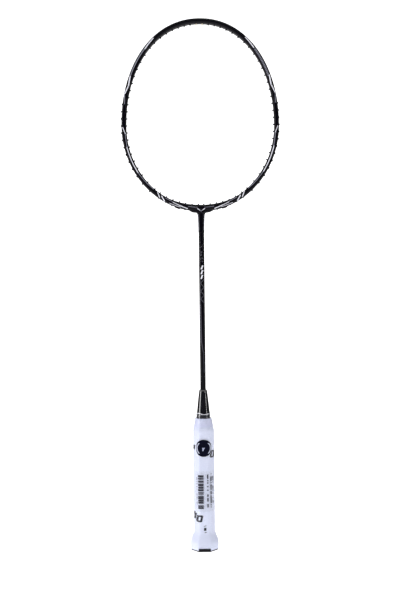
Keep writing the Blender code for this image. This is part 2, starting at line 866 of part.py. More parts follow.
def walk(outline, distance):
    """(side, share) on an outline at a distance round from the middle of its front face."""
    count = len(outline)
    start = next(
        i for i in range(count) if outline[i][0] < 0 < outline[(i + 1) % count][0]
        and outline[i][1] < 0
    )
    first = outline[start]
    along = abs(first[0]) + distance
    side = start
    while along < 0:
        side = (side - 1) % count
        a, b = outline[side], outline[(side + 1) % count]
        along += math.hypot(b[0] - a[0], b[1] - a[1])
    while True:
        a, b = outline[side], outline[(side + 1) % count]
        length = math.hypot(b[0] - a[0], b[1] - a[1])
        if along <= length:
            return side, along / length
        along -= length
        side = (side + 1) % count


def wrapped(name, marks, span):
    """A thin sticker on the film; span gives its lowest and highest point at each mark."""
    middle = (span(0.0)[0] + span(0.0)[1]) / 2
    base = film_outline(middle)
    under, over = grown(base, FIT_GAP), grown(base, FIT_GAP + STICKER_THICK)
    rings = []
    for mark in marks:
        side, share = walk(base, mark)
        low, high = span(mark)
        ring = []
        for outline, ends in ((over, (high, low)), (under, (low, high))):
            a, b = outline[side], outline[(side + 1) % len(outline)]
            x, y = a[0] + (b[0] - a[0]) * share, a[1] + (b[1] - a[1]) * share
            ring += [Vector((x, y, end)) for end in ends]
        rings.append(ring)
    loft(name, rings)


def corner_marks(height, reach):
    """Distances from the front's middle to each outline corner within reach."""
    outline = film_outline(height)
    right = [point for point in outline if point[0] > 0 and point[1] < 0]
    right.sort(key=lambda point: point[1])
    marks, travelled, last = [], 0.0, (0.0, right[0][1])
    for point in right:
        travelled += math.hypot(point[0] - last[0], point[1] - last[1])
        last = point
        if travelled < reach:
            marks.append(travelled)
    return [-mark for mark in marks[::-1]] + marks


def build_film_and_stickers():
    low = [FILM_LOW] + [
        FLARE_LOW + (FLARE_TOP - FLARE_LOW) * i / 5 for i in range(6)
    ]
    heights = low + [
        GRIP_SHOULDER,
        BAND_LOW,
        (BAND_LOW + BAND_TOP) / 2,
        BAND_TOP,
        FILM_TOP,
    ]
    sleeve("film_sleeve", heights, film_outline, FILM_THICK)

    even = [SEAL_RADIUS * math.sin(math.pi / 2 * i / 6) * 0.985 for i in range(-6, 7)]
    marks = sorted(
        even + [m for m in corner_marks(SEAL_HEIGHT, SEAL_RADIUS * 0.95)]
    )
    kept = [marks[0]]
    for mark in marks[1:]:
        if mark - kept[-1] > 0.25 * MM:
            kept.append(mark)

    def seal_span(mark):
        half = math.sqrt(max(SEAL_RADIUS**2 - mark**2, (0.1 * SEAL_RADIUS) ** 2))
        return SEAL_HEIGHT - half, SEAL_HEIGHT + half

    wrapped("round_sticker", kept, seal_span)

    inside = [m for m in corner_marks(LABEL_LOW, LABEL_RIGHT) if LABEL_LEFT < m < LABEL_RIGHT]
    wrapped(
        "print_label",
        [LABEL_LEFT, *inside, LABEL_RIGHT],
        lambda mark: (LABEL_LOW, LABEL_TOP),
    )


def main():
    clear_scene()
    collection(PARTS)
    collection(CUTTERS, hidden=True)
    stations = build_frame()
    build_grommets()
    build_throat_and_shaft(stations)
    build_cone()
    build_handle()
    build_butt()
    build_film_and_stickers()


main()
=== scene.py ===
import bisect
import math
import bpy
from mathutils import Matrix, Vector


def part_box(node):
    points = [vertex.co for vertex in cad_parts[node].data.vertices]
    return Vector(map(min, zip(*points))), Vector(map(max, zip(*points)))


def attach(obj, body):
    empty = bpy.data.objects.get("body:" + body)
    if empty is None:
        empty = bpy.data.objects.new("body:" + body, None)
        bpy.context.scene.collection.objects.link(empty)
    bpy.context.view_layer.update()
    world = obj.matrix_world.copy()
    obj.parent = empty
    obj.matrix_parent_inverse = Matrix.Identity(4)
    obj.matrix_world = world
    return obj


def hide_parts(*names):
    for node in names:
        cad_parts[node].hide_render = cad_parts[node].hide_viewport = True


bl_info = {
    "name": "Badminton Racket Looks",
    "version": (1, 0, 0),
    "blender": (4, 5, 0),
    "location": "3D View > Sidebar > Racket",
    "description": "Builds the visible pieces of an unstrung badminton racket around its CAD frame",
    "category": "Add Mesh",
}

import bmesh
import bpy
from mathutils import Matrix, Vector, noise

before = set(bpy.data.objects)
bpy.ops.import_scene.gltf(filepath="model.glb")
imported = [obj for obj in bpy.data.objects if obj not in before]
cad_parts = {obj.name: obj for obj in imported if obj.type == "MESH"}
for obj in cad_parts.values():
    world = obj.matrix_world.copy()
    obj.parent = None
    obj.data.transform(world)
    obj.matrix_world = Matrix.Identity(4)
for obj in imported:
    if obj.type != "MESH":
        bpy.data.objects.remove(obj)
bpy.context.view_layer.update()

MM = 0.001
BODY = "root"
PANEL_TAB = "Racket"

# ---------------------------------------------------------------- sizes taken from the frame

HOOP_LOW, HOOP_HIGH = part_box("frame_hoop")
HEAD_HALF_WIDTH = HOOP_HIGH.x
TOP_SHARE = 0.5542
HEAD_TOP_REACH = (HOOP_HIGH.z - HOOP_LOW.z) * TOP_SHARE
HEAD_LOW_REACH = (HOOP_HIGH.z - HOOP_LOW.z) - HEAD_TOP_REACH
HEAD_CENTRE = HOOP_HIGH.z - HEAD_TOP_REACH
HEAD_TOP_POWER = 2.11
HEAD_LOW_POWER = 2.0
HALF_DEPTH = HOOP_HIGH.y
TUBE_THICK = 6.3 * MM
THROAT_THICK = 8.3 * MM
THROAT_SPREAD = 60.0 * MM
GROOVE_DEPTH = 0.9 * MM
GROOVE_FLOOR = 1.4 * MM
GROOVE_LIP = 2.0 * MM
HOOP_STEPS = 256

TOP_MAIN_FIRST = 3.9 * MM
TOP_MAINS = 8
TOP_MAIN_REACH = 0.569 * HEAD_HALF_WIDTH
TOP_MAIN_PITCH = (TOP_MAIN_REACH - TOP_MAIN_FIRST) / (TOP_MAINS - 1)
CROSSES = 21
GROOVED_CROSSES = 8
CROSS_TOP = HOOP_HIGH.z - 0.27 * HEAD_TOP_REACH
CROSS_REACH = 0.7318 * (HOOP_HIGH.z - HOOP_LOW.z)
CROSS_PITCH = CROSS_REACH / (CROSSES - 1)
LOW_MAIN_FIRST = 3.4 * MM
LOW_MAINS = 7
LOW_MAIN_REACH = 0.518 * HEAD_HALF_WIDTH
LOW_MAIN_PITCH = (LOW_MAIN_REACH - LOW_MAIN_FIRST) / (LOW_MAINS - 1)
BARREL_RADIUS = 0.85 * MM
BORE_RADIUS = 0.45 * MM
NUB_LENGTH = 1.55 * MM

SHAFT_LOW, SHAFT_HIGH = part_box("shaft")
SHAFT_RADIUS = SHAFT_HIGH.x
CONE_LOW, CONE_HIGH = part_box("cone")
CONE_RADIUS = CONE_HIGH.x
CONE_TOP_RADIUS = 4.85 * MM
BAND_LOW, BAND_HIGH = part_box("finishing_band")
CONE_SHOW_BOTTOM = BAND_HIGH.z - 0.3 * MM
CONE_TAPER_POWER = 0.85

GRIP_LOW, GRIP_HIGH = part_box("grip_wrap")
BUTT_HALF_WIDTH = GRIP_HIGH.x
BUTT_HALF_DEPTH = GRIP_HIGH.y
GRIP_HALF_WIDTH = BUTT_HALF_WIDTH - 4.35 * MM
GRIP_HALF_DEPTH = BUTT_HALF_DEPTH - 2.95 * MM
WIDE_SHARE = 0.457
SIDE_SHARE = 0.36
CORNER = 1.8 * MM
FLARE_TOP = 24.0 * MM
FLARE_LOW = 8.5 * MM
GRIP_SHOULDER = 151.0 * MM
BAND_TOP_HALF = 10.25 * MM
BAND_LOW_HALF = BAND_HIGH.x
BAND_STEP = 0.3 * MM
GRIP_UNDER_BAND = 0.95 * MM
ROUNDING_TOP = 168.0 * MM
FILM_LOW, FILM_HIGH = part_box("film_sleeve")
FILM_GAP = 0.42 * MM
FILM_TOP_GAP = 0.45 * MM
WRAP_PITCH = 27.0 * MM

SEAL_LOW, SEAL_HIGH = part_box("round_sticker")
SEAL_HEIGHT = (SEAL_LOW.z + SEAL_HIGH.z) / 2
SEAL_RADIUS = (SEAL_HIGH.z - SEAL_LOW.z) / 2
LABEL_LOW, LABEL_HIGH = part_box("print_label")
LABEL_LEFT = -13.5 * MM
LABEL_RIGHT = 16.5 * MM
STICKER_LIFT = 0.3 * MM
CAP_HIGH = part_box("butt_cap")[1]
CAP_PLATE = 1.2 * MM
BADGE_LOW, BADGE_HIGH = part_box("end_badge")


def ease(share):
    """0 to 1 with a soft start and a soft stop."""
    share = min(max(share, 0.0), 1.0)
    return share * share * (3 - 2 * share)


def mix(a, b, share):
    return a + (b - a) * share


def hump(value, middle, width):
    """1 at the middle, falling away to 0 on both sides."""
    return math.exp(-(((value - middle) / width) ** 2))


# ---------------------------------------------------------------- modelling helpers


def start_clean():
    """Object mode with nothing selected."""
    if bpy.context.object is not None and bpy.context.object.mode != "OBJECT":
        bpy.ops.object.mode_set(mode="OBJECT")
    bpy.ops.object.select_all(action="DESELECT")


def only(obj):
    """Makes obj the one selected and active object."""
    start_clean()
    obj.select_set(True)
    bpy.context.view_layer.objects.active = obj


def edit_all(obj):
    """Edit mode with the whole piece selected."""
    only(obj)
    bpy.ops.object.mode_set(mode="EDIT")
    bpy.ops.mesh.select_all(action="SELECT")


def turn_outwards(obj):
    """Makes the faces of a shape agree, pointing outwards."""
    edit_all(obj)
    bpy.ops.mesh.normals_make_consistent(inside=False)
    bpy.ops.object.mode_set(mode="OBJECT")
    return obj


def face_towards(obj, way):
    """Turns an open sheet so that its faces look this way."""
    if sum(face.normal.dot(way) * face.area for face in obj.data.polygons) < 0:
        obj.data.flip_normals()


def named(name):
    """Names the active object and its mesh."""
    obj = bpy.context.object
    obj.name = name
    obj.data.name = name
    return obj


def select_points(obj, test):
    """In edit mode, selects the vertices whose place passes the test, and what they span."""
    bpy.ops.mesh.select_mode(type="VERT")
    bpy.ops.mesh.select_all(action="DESELECT")
    cage = bmesh.from_edit_mesh(obj.data)
    for point in cage.verts:
        if test(point.co):
            point.select = True
    cage.select_flush(True)
    bmesh.update_edit_mesh(obj.data)


def draw_tube(name, sides, rings, cap_first=False, cap_last=False, join_ends=False):
    """A circle primitive extruded ring by ring; each ring is (height, half width, half depth)."""
    start_clean()
    height, width, depth = rings[0]
    bpy.ops.mesh.primitive_circle_add(vertices=sides, radius=1.0, fill_type="NOTHING")
    obj = named(name)
    bpy.ops.object.mode_set(mode="EDIT")
    bpy.ops.mesh.select_all(action="SELECT")
    bpy.ops.transform.translate(value=(0, 0, height))
    bpy.ops.transform.resize(value=(width, depth, 1), center_override=(0, 0, height))
    if cap_first:
        bpy.ops.mesh.edge_face_add()
        bpy.ops.mesh.select_mode(type="EDGE")
    for before, after in zip(rings, rings[1:]):
        rise = after[0] - before[0]
        bpy.ops.mesh.extrude_region_move(TRANSFORM_OT_translate={"value": (0, 0, rise)})
        bpy.ops.transform.resize(
            value=(after[1] / before[1], after[2] / before[2], 1),
            center_override=(0, 0, after[0]),
        )
    if cap_last and not cap_first:
        bpy.ops.mesh.edge_face_add()
    if join_ends:
        bpy.ops.mesh.select_all(action="DESELECT")
        bpy.ops.mesh.select_mode(type="EDGE")
        bpy.ops.mesh.select_non_manifold()
        bpy.ops.mesh.bridge_edge_loops()
    return turn_outwards(obj)


def round_rings(profile):
    """The rings of a turned shape, from its (height, radius) points."""
    return [(height, radius, radius) for height, radius in profile]


def apply_modifier(obj, kind, **values):
    """Adds a modifier, sets it up and applies it."""
    only(obj)
    modifier = obj.modifiers.new(kind.title(), kind)
    for key, value in values.items():
        setattr(modifier, key, value)
    bpy.ops.object.modifier_apply(modifier=modifier.name)
    return obj


def smooth(obj, degrees=40):
    only(obj)
    bpy.ops.object.shade_smooth_by_angle(angle=math.radians(degrees))
    return obj


def join(name, objects):
    only(objects[0])
    for obj in objects[1:]:
        obj.select_set(True)
    bpy.ops.object.join()
    return named(name)


def settle(obj, matrix):
    """Puts a place into the mesh and leaves the object at the origin."""
    obj.data.transform(matrix)
    obj.matrix_world = Matrix.Identity(4)
    if matrix.determinant() < 0:
        obj.data.flip_normals()
    return obj


def copy_of(obj, name):
    """A copy with its own mesh."""
    twin = obj.copy()
    twin.data = obj.data.copy()
    twin.name = name
    twin.data.name = name
    bpy.context.collection.objects.link(twin)
    return twin


def set_map(obj, map_name, values):
    """Writes one (u, v) pair a vertex into a UV map."""
    layer = obj.data.uv_layers.get(map_name) or obj.data.uv_layers.new(name=map_name)
    for loop in obj.data.loops:
        layer.data[loop.index].uv = values[loop.vertex_index]
    obj.data.uv_layers.active = layer


def finish_with(obj, material):
    """Gives a piece its one material."""
    obj.data.materials.clear()
    obj.data.materials.append(material)


def hand_over(obj, material, node):
    """The finished piece rides on the racket's body and stands for its CAD node, which it hides."""
    finish_with(obj, material)
    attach(obj, BODY)
    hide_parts(node)


# ---------------------------------------------------------------- the head's line


def head_point(angle):
    """The outer line of the head by angle from the tip, on the +X side."""
    up, across = math.cos(angle), math.sin(angle)
    if up >= 0:
        reach, power = HEAD_TOP_REACH, HEAD_TOP_POWER
    else:
        reach, power = HEAD_LOW_REACH, HEAD_LOW_POWER
    x = HEAD_HALF_WIDTH * abs(across) ** (2 / power)
    z = math.copysign(reach * abs(up) ** (2 / power), up)
    return Vector((x, 0.0, HEAD_CENTRE + z))


SIDES = ((1, "right"), (-1, "left"))
TRACE_STEPS = 1600
TANGENT_STEPS = 3
TRACE = [head_point(math.pi * i / TRACE_STEPS) for i in range(TRACE_STEPS + 1)]
TRAVEL = [0.0]
for before, after in zip(TRACE, TRACE[1:]):
    TRAVEL.append(TRAVEL[-1] + (after - before).length)
HALF_ROUND = TRAVEL[-1]


def head_frame(distance):
    """(point, outward normal) on the outer line, by distance round from the tip."""
    distance = distance % (2 * HALF_ROUND)
    left = distance > HALF_ROUND
    if left:
        distance = 2 * HALF_ROUND - distance
    low = min(bisect.bisect_right(TRAVEL, distance), TRACE_STEPS) - 1
    share = (distance - TRAVEL[low]) / (TRAVEL[low + 1] - TRAVEL[low])
    point = TRACE[low].lerp(TRACE[low + 1], share)
    along = TRACE[min(low + 1 + TANGENT_STEPS, TRACE_STEPS)] - TRACE[max(low - TANGENT_STEPS, 0)]
    level = 0.5 * MM
    if distance < level or distance > HALF_ROUND - level:
        along = Vector((1.0 if distance < level else -1.0, 0.0, 0.0))
    along.normalize()
    normal = Vector((-along.z, 0.0, along.x))
    if left:
        point, normal = Vector((-point.x, 0, point.z)), Vector((-normal.x, 0, normal.z))
    return point, normal


def tube_thick(distance):
    away = abs(HALF_ROUND - distance % (2 * HALF_ROUND))
    return mix(TUBE_THICK, THROAT_THICK, ease(1 - away / THROAT_SPREAD))


def inner_point(distance):
    point, normal = head_frame(distance)
    return point - normal * tube_thick(distance)


HALVINGS = 40


def distance_where(axis, target, start, end):
    """The distance from start to end at which the inner face has this x or z."""
    rising = inner_point(end)[axis] > inner_point(start)[axis]
    for _ in range(HALVINGS):
        middle = (start + end) / 2
        if (inner_point(middle)[axis] < target) == rising:
            start = middle
        else:
            end = middle
    return (start + end) / 2


WIDEST = distance_where(2, HEAD_CENTRE, 0.0, HALF_ROUND)
ACROSS, DOWN = Vector((1.0, 0.0, 0.0)), Vector((0.0, 0.0, -1.0))
TOP_MAIN_SPOTS = [
    (distance_where(0, TOP_MAIN_FIRST + i * TOP_MAIN_PITCH, 0.0, WIDEST), DOWN)
    for i in range(TOP_MAINS)
]
CROSS_SPOTS = [
    (distance_where(2, CROSS_TOP - i * CROSS_PITCH, 0.0, HALF_ROUND), -ACROSS)
    for i in range(CROSSES)
]
LOW_MAIN_SPOTS = [
    (distance_where(0, LOW_MAIN_FIRST + i * LOW_MAIN_PITCH, WIDEST, HALF_ROUND), -DOWN)
    for i in range(LOW_MAINS)
]
# The groove is full past the last grooved hole and has run out before the next one.
GROOVE_FULL_END = CROSS_SPOTS[GROOVED_CROSSES - 1][0] + 2.6 * MM
GROOVE_CLEAR = CROSS_SPOTS[GROOVED_CROSSES][0] - 1.8 * MM


def groove_depth(distance):
    away = min(distance % (2 * HALF_ROUND), -distance % (2 * HALF_ROUND))
    return GROOVE_DEPTH * (1 - ease((away - GROOVE_FULL_END) / (GROOVE_CLEAR - GROOVE_FULL_END)))


ARC_STEPS = 9
SHOULDER_SHARE, INNER_FLAT_SHARE = 0.54, 0.3
OUTER_POWER, INNER_POWER = 0.85, 0.9
# The groove's side: how much of its depth is left, by the share of the way to its lip.
GROOVE_SIDE = [(0.80, 0.35), (0.20, 0.75), (0.03, 0.92)]


def half_section(distance):
    """(outward, depthwise) points of half the tube, from the groove's middle to the inside."""
    groove, thick = groove_depth(distance), tube_thick(distance)
    shoulder, flat = SHOULDER_SHARE * thick, INNER_FLAT_SHARE * HALF_DEPTH
    points = [(-groove, share * GROOVE_FLOOR) for share in (0.0, 0.6, 1.0)]
    for left, share in GROOVE_SIDE:
        points.append((-left * groove, mix(GROOVE_FLOOR, GROOVE_LIP, share)))
    for i in range(ARC_STEPS):
        turn = math.pi / 2 * i / ARC_STEPS
        out = shoulder * (abs(math.cos(turn)) ** OUTER_POWER - 1)
        points.append((out, mix(GROOVE_LIP, HALF_DEPTH, abs(math.sin(turn)) ** OUTER_POWER)))
    for i in range(ARC_STEPS + 1):
        turn = math.pi / 2 * i / ARC_STEPS
        out = -shoulder - (thick - shoulder) * abs(math.sin(turn)) ** INNER_POWER
        points.append((out, mix(flat, HALF_DEPTH, abs(math.cos(turn)) ** INNER_POWER)))
    return points + [(-thick, 0.0)]


def full_section(distance):
    half = half_section(distance)
    return half + [(out, -depth) for out, depth in half[-2:0:-1]]


class Spot:
    """One string hole: where its axis meets the outer face, which way it runs in, its length."""

    def __init__(self, distance, string_way, side):
        normal = head_frame(distance)[1]
        self.way = (string_way - normal).normalized()
        self.length = tube_thick(distance) / -self.way.dot(normal)
        self.outer = inner_point(distance) - self.way * self.length
        if side < 0:
            self.way = Vector((-self.way.x, 0.0, self.way.z))
            self.outer = Vector((-self.outer.x, 0.0, self.outer.z))

    def matrix(self):
        """Takes a grommet drawn down from the origin along -Z to this hole."""
        up = -self.way
        depth = Vector((0.0, 1.0, 0.0))
        side = depth.cross(up)
        turned = Matrix((side, depth, up)).transposed().to_4x4()
        return Matrix.Translation(self.outer) @ turned


# ---------------------------------------------------------------- the grip's outline


def flare(height):
    return ease((FLARE_TOP - height) / (FLARE_TOP - FLARE_LOW))


def roundness(height):
    """0 where the grip is an octagon, 1 where it has run out into the round cone."""
    return ease((height - GRIP_SHOULDER) / (ROUNDING_TOP - GRIP_SHOULDER))


def octagon(half_width, half_depth):
    wide, narrow = WIDE_SHARE * half_width, SIDE_SHARE * half_depth
    quarter = [(wide, -half_depth), (half_width, -narrow)]
    right = quarter + [(x, -y) for x, y in quarter[::-1]]
    return right + [(-x, -y) for x, y in right]


FACE_STEPS = 7
CORNER_STEPS = 5
OUTLINE_POINTS = 8 * (FACE_STEPS + CORNER_STEPS)
OUTLINE_START = -math.pi / 2 + math.pi / 8 - math.pi * CORNER_STEPS / 2 / OUTLINE_POINTS


def handle_outline(height, half_width, corner=CORNER):
    """The octagon with soft corners, blended towards a circle near the cone; the first point
    is where the front face's right corner begins."""
    mixed = flare(height)
    shallow = mix(GRIP_HALF_WIDTH - GRIP_HALF_DEPTH, BUTT_HALF_WIDTH - BUTT_HALF_DEPTH, mixed)
    corners = [Vector((*c, 0)) for c in octagon(half_width, half_width - shallow)]
    points = []
    for i, here in enumerate(corners):
        before, after = corners[i - 1], corners[(i + 1) % 8]
        first = here + (before - here).normalized() * corner
        last = here + (after - here).normalized() * corner
        next_first = after + (here - after).normalized() * corner
        for step in range(CORNER_STEPS):
            t = step / CORNER_STEPS
            points.append(first * (1 - t) ** 2 + here * 2 * t * (1 - t) + last * t * t)
        for step in range(FACE_STEPS):
            points.append(last.lerp(next_first, step / FACE_STEPS))
    turn_round = roundness(height)
    if turn_round > 0:
        for i, point in enumerate(points):
            angle = OUTLINE_START + 2 * math.pi * i / OUTLINE_POINTS
            circle = Vector((math.cos(angle), math.sin(angle), 0)) * half_width
            points[i] = point.lerp(circle, turn_round)
    return points


def band_half_width(height):
    share = (height - BAND_LOW.z) / (BAND_HIGH.z - BAND_LOW.z)
    return mix(BAND_LOW_HALF, BAND_TOP_HALF, share)


def grip_half_width(height):
    if height <= GRIP_SHOULDER:
        return mix(GRIP_HALF_WIDTH, BUTT_HALF_WIDTH, flare(height))
    if height <= BAND_LOW.z:
        share = (height - GRIP_SHOULDER) / (BAND_LOW.z - GRIP_SHOULDER)
        return mix(GRIP_HALF_WIDTH, BAND_LOW_HALF - BAND_STEP, (ease(share) + share) / 2)
    return band_half_width(height) - GRIP_UNDER_BAND


def cone_radius(height):
    share = (CONE_HIGH.z - height) / (CONE_HIGH.z - CONE_SHOW_BOTTOM)
    share = min(max(share, 0.0), 1.0)
    return mix(CONE_TOP_RADIUS, CONE_RADIUS, share**CONE_TAPER_POWER)


def film_half_width(height):
    if height <= GRIP_SHOULDER:
        return grip_half_width(height) + FILM_GAP
    if height <= BAND_HIGH.z:
        away = ease((height - GRIP_SHOULDER) / (BAND_LOW.z - GRIP_SHOULDER))
        return mix(GRIP_HALF_WIDTH, band_half_width(height), away) + FILM_GAP
    share = (height - BAND_HIGH.z) / (FILM_HIGH.z - BAND_HIGH.z)
    top_half = cone_radius(FILM_HIGH.z) + FILM_TOP_GAP
    return mix(BAND_TOP_HALF + FILM_GAP, top_half, ease(share))


def wrap_walk(half_width, height):
    """Points and distances round an outline, from the middle of its front face to +X."""
    points = handle_outline(height, half_width)
    front = Vector((0.0, points[0].y, 0.0))
    line, travel = [front], [0.0]
    for point in points:
        travel.append(travel[-1] + (point - line[-1]).length)
        line.append(point)
    return line, travel


STRAIGHT_HEIGHT = 90.0 * MM
FILM_LINE, FILM_TRAVEL = wrap_walk(GRIP_HALF_WIDTH + FILM_GAP, STRAIGHT_HEIGHT)


def on_film(distance, height, lift):
    """A point on the straight part of the film, by distance round from the front's middle."""
    away = abs(distance)
    i = max(bisect.bisect_left(FILM_TRAVEL, away) - 1, 0)
    a, b = FILM_LINE[i], FILM_LINE[i + 1]
    share = (away - FILM_TRAVEL[i]) / (FILM_TRAVEL[i + 1] - FILM_TRAVEL[i])
    point = a.lerp(b, share)
    out = Vector((b.y - a.y, a.x - b.x, 0.0)).normalized()
    point = point + out * (-lift if out.dot(point) < 0 else lift)
    return Vector((math.copysign(point.x, distance), point.y, height))


# ---------------------------------------------------------------- node helpers


def socket_name(key):
    """coat_roughness as the socket Coat Roughness."""
    return key.replace("_", " ").title().replace("Ior", "IOR")


def fill(tree, node, inputs):
    """Sets a node's inputs, each to a number, a colour or another node's socket."""
    for key, value in inputs.items():
        if isinstance(value, bpy.types.NodeSocket):
            tree.links.new(value, node.inputs[key])
        else:
            node.inputs[key].default_value = value
    return node


def put(tree, kind, inputs=None, **settings):
    """Adds a node with its settings and its filled inputs."""
    made = tree.nodes.new(kind)
    for key, value in settings.items():
        setattr(made, key, value)
    return fill(tree, made, inputs or {})


def maths(tree, operation, *values, clamp=False):
    inputs = dict(enumerate(values))
    return put(tree, "ShaderNodeMath", inputs, operation=operation, use_clamp=clamp).outputs[0]


def chain(tree, operation, values):
    """One value from many, by the same operation."""
    found = values[0]
    for value in values[1:]:
        found = maths(tree, operation, found, value)
    return found


def strongest(tree, *masks):
    return chain(tree, "MAXIMUM", masks)


def product(tree, *values):
    return chain(tree, "MULTIPLY", values)


def one_over(tree, size):
    return maths(tree, "DIVIDE", 1.0, size)


def blend_colours(tree, share, first, second):
    inputs = {0: share, 6: first, 7: second}
    return put(tree, "ShaderNodeMix", inputs, data_type="RGBA").outputs[2]


def blend_values(tree, share, first, second):
    return put(tree, "ShaderNodeMix", {0: share, 2: first, 3: second}).outputs[0]


def remap(tree, value, low, high, floor=0.0, interpolation="LINEAR"):
    """The value from low to high as floor to 1."""
    inputs = {"Value": value, "From Min": low, "From Max": high, "To Min": floor}
    made = put(tree, "ShaderNodeMapRange", inputs, interpolation_type=interpolation)
    return made.outputs[0]


def noise_value(tree, where, scale, **inputs):
    made = put(tree, "ShaderNodeTexNoise", {"Vector": where, "Scale": scale})
    return fill(tree, made, {socket_name(key): value for key, value in inputs.items()}).outputs[0]


def sine_along(tree, along, pitch):
    return maths(tree, "SINE", maths(tree, "MULTIPLY", along, 2 * math.pi / pitch))


def radius_of(tree, across, up):
    """The distance from the origin of a plane of two lengths."""
    squares = [maths(tree, "POWER", length, 2.0) for length in (across, up)]
    return maths(tree, "SQRT", maths(tree, "ADD", *squares))


def object_place(tree):
    return put(tree, "ShaderNodeTexCoord").outputs["Object"]


def split(tree, vector):
    return put(tree, "ShaderNodeSeparateXYZ", {0: vector}).outputs


def place_of(tree):
    """The three Object coordinates, in metres, by the names X, Y and Z."""
    return split(tree, object_place(tree))


def map_place(tree, map_name):
    """The two lengths of a piece's own UV map."""
    return split(tree, put(tree, "ShaderNodeUVMap", uv_map=map_name).outputs[0])[:2]


# ---------------------------------------------------------------- shared effects


def new_group(name, inputs, outputs):
    """A shader node group whose named inputs, with their defaults, and outputs are numbers."""
    tree = bpy.data.node_groups.new(name, "ShaderNodeTree")
    for socket, default in inputs.items():
        made = tree.interface.new_socket(socket, in_out="INPUT", socket_type="NodeSocketFloat")
        made.default_value = default
    for socket in outputs:
        tree.interface.new_socket(socket, in_out="OUTPUT", socket_type="NodeSocketFloat")
    given = tree.nodes.new("NodeGroupInput").outputs
    return tree, given, tree.nodes.new("NodeGroupOutput")


def use_group(tree, name, **inputs):
    """Places a shared group; grain_size fills its socket Grain Size."""
    made = put(tree, "ShaderNodeGroup", node_tree=bpy.data.node_groups[name])
    return fill(tree, made, {socket_name(key): value for key, value in inputs.items()}).outputs


def soft_edge(tree, distance, softness):
    """0 well outside an edge and 1 well inside it, by the distance inside."""
    share = maths(tree, "DIVIDE", distance, softness)
    return maths(tree, "ADD", share, 0.5, clamp=True)


def make_stroke_group():
    """A painted line in a plane of two lengths, from one point to another, with soft edges."""
    defaults = {"Along": 0.0, "Across": 0.0, "Start": 0.0, "End": 1.0}
    defaults |= {"First": 0.0, "Last": 0.0, "Width": 1 * MM, "Softness": 0.2 * MM}
    tree, given, result = new_group("Paint Stroke", defaults, ["Mask"])
    travelled = maths(tree, "SUBTRACT", given["Along"], given["Start"])
    whole = maths(tree, "SUBTRACT", given["End"], given["Start"])
    share = maths(tree, "DIVIDE", travelled, whole)
    middle = blend_values(tree, share, given["First"], given["Last"])
    away = maths(tree, "ABSOLUTE", maths(tree, "SUBTRACT", given["Across"], middle))
    inside = maths(tree, "SUBTRACT", maths(tree, "MULTIPLY", given["Width"], 0.5), away)
    left = maths(tree, "SUBTRACT", given["End"], given["Along"])
    edges = [soft_edge(tree, reach, given["Softness"]) for reach in (travelled, left, inside)]
    fill(tree, result, {"Mask": product(tree, *edges)})


BLANK_DASHES = 0.38


def make_dash_group():
    """A column of uneven dashes, like print too small to read."""
    defaults = {"Along": 0.0, "Across": 0.0, "Centre": 0.0, "Width": 1 * MM}
    defaults |= {"Start": 0.0, "End": 1.0, "Pitch": 1 * MM, "Seed": 0.0}
    tree, given, result = new_group("Dash Column", defaults, ["Mask"])
    cell = maths(tree, "FLOOR", maths(tree, "DIVIDE", given["Along"], given["Pitch"]))
    cell = maths(tree, "ADD", cell, given["Seed"])
    chance = put(tree, "ShaderNodeTexWhiteNoise", {"W": cell}, noise_dimensions="1D").outputs[0]
    printed = maths(tree, "GREATER_THAN", chance, BLANK_DASHES)
    away = maths(tree, "ABSOLUTE", maths(tree, "SUBTRACT", given["Across"], given["Centre"]))
    inside = maths(tree, "LESS_THAN", away, maths(tree, "MULTIPLY", given["Width"], 0.5))
    above = maths(tree, "GREATER_THAN", given["Along"], given["Start"])
    below = maths(tree, "LESS_THAN", given["Along"], given["End"])
    fill(tree, result, {"Mask": product(tree, printed, inside, above, below)})


def make_grain_group():
    """Fine grain and slower clouding, as values from 0 to 1."""
    defaults = {"Grain Size": 0.4 * MM, "Cloud Size": 20 * MM}
    tree, given, result = new_group("Fine Grain", defaults, ["Grain", "Cloud"])
    whole = object_place(tree)
    fine = noise_value(tree, whole, one_over(tree, given["Grain Size"]), detail=2.0)
    slow = noise_value(tree, whole, one_over(tree, given["Cloud Size"]), detail=3.0)
    fill(tree, result, {"Grain": fine, "Cloud": slow})


SMUDGE_FAINT, SMUDGE_FULL = 0.42, 0.72
SCRATCH_LEVEL, SCRATCH_WEAR = 0.71, 0.35
UPRIGHT_STREAKS = (2600.0, 2600.0, 90.0)


def make_marks_group():
    """Roughness that handling leaves: soft smudges and a few fine scratches."""
    defaults = {"Clean": 0.2, "Rubbed": 0.35, "Smudge Size": 30 * MM}
    tree, given, result = new_group("Handling Marks", defaults, ["Roughness"])
    whole = object_place(tree)
    smudge = one_over(tree, given["Smudge Size"])
    smudge = noise_value(tree, whole, smudge, detail=5.0, roughness=0.62)
    smudge = remap(tree, smudge, SMUDGE_FAINT, SMUDGE_FULL, interpolation="SMOOTHSTEP")
    streak = put(tree, "ShaderNodeMapping", {"Vector": whole, "Scale": UPRIGHT_STREAKS})
    scratch = noise_value(tree, streak.outputs[0], 1.0, detail=1.0)
    scratch = maths(tree, "GREATER_THAN", scratch, SCRATCH_LEVEL)
    worn = maths(tree, "ADD", smudge, product(tree, scratch, SCRATCH_WEAR), clamp=True)
    fill(tree, result, {"Roughness": blend_values(tree, worn, given["Clean"], given["Rubbed"])})


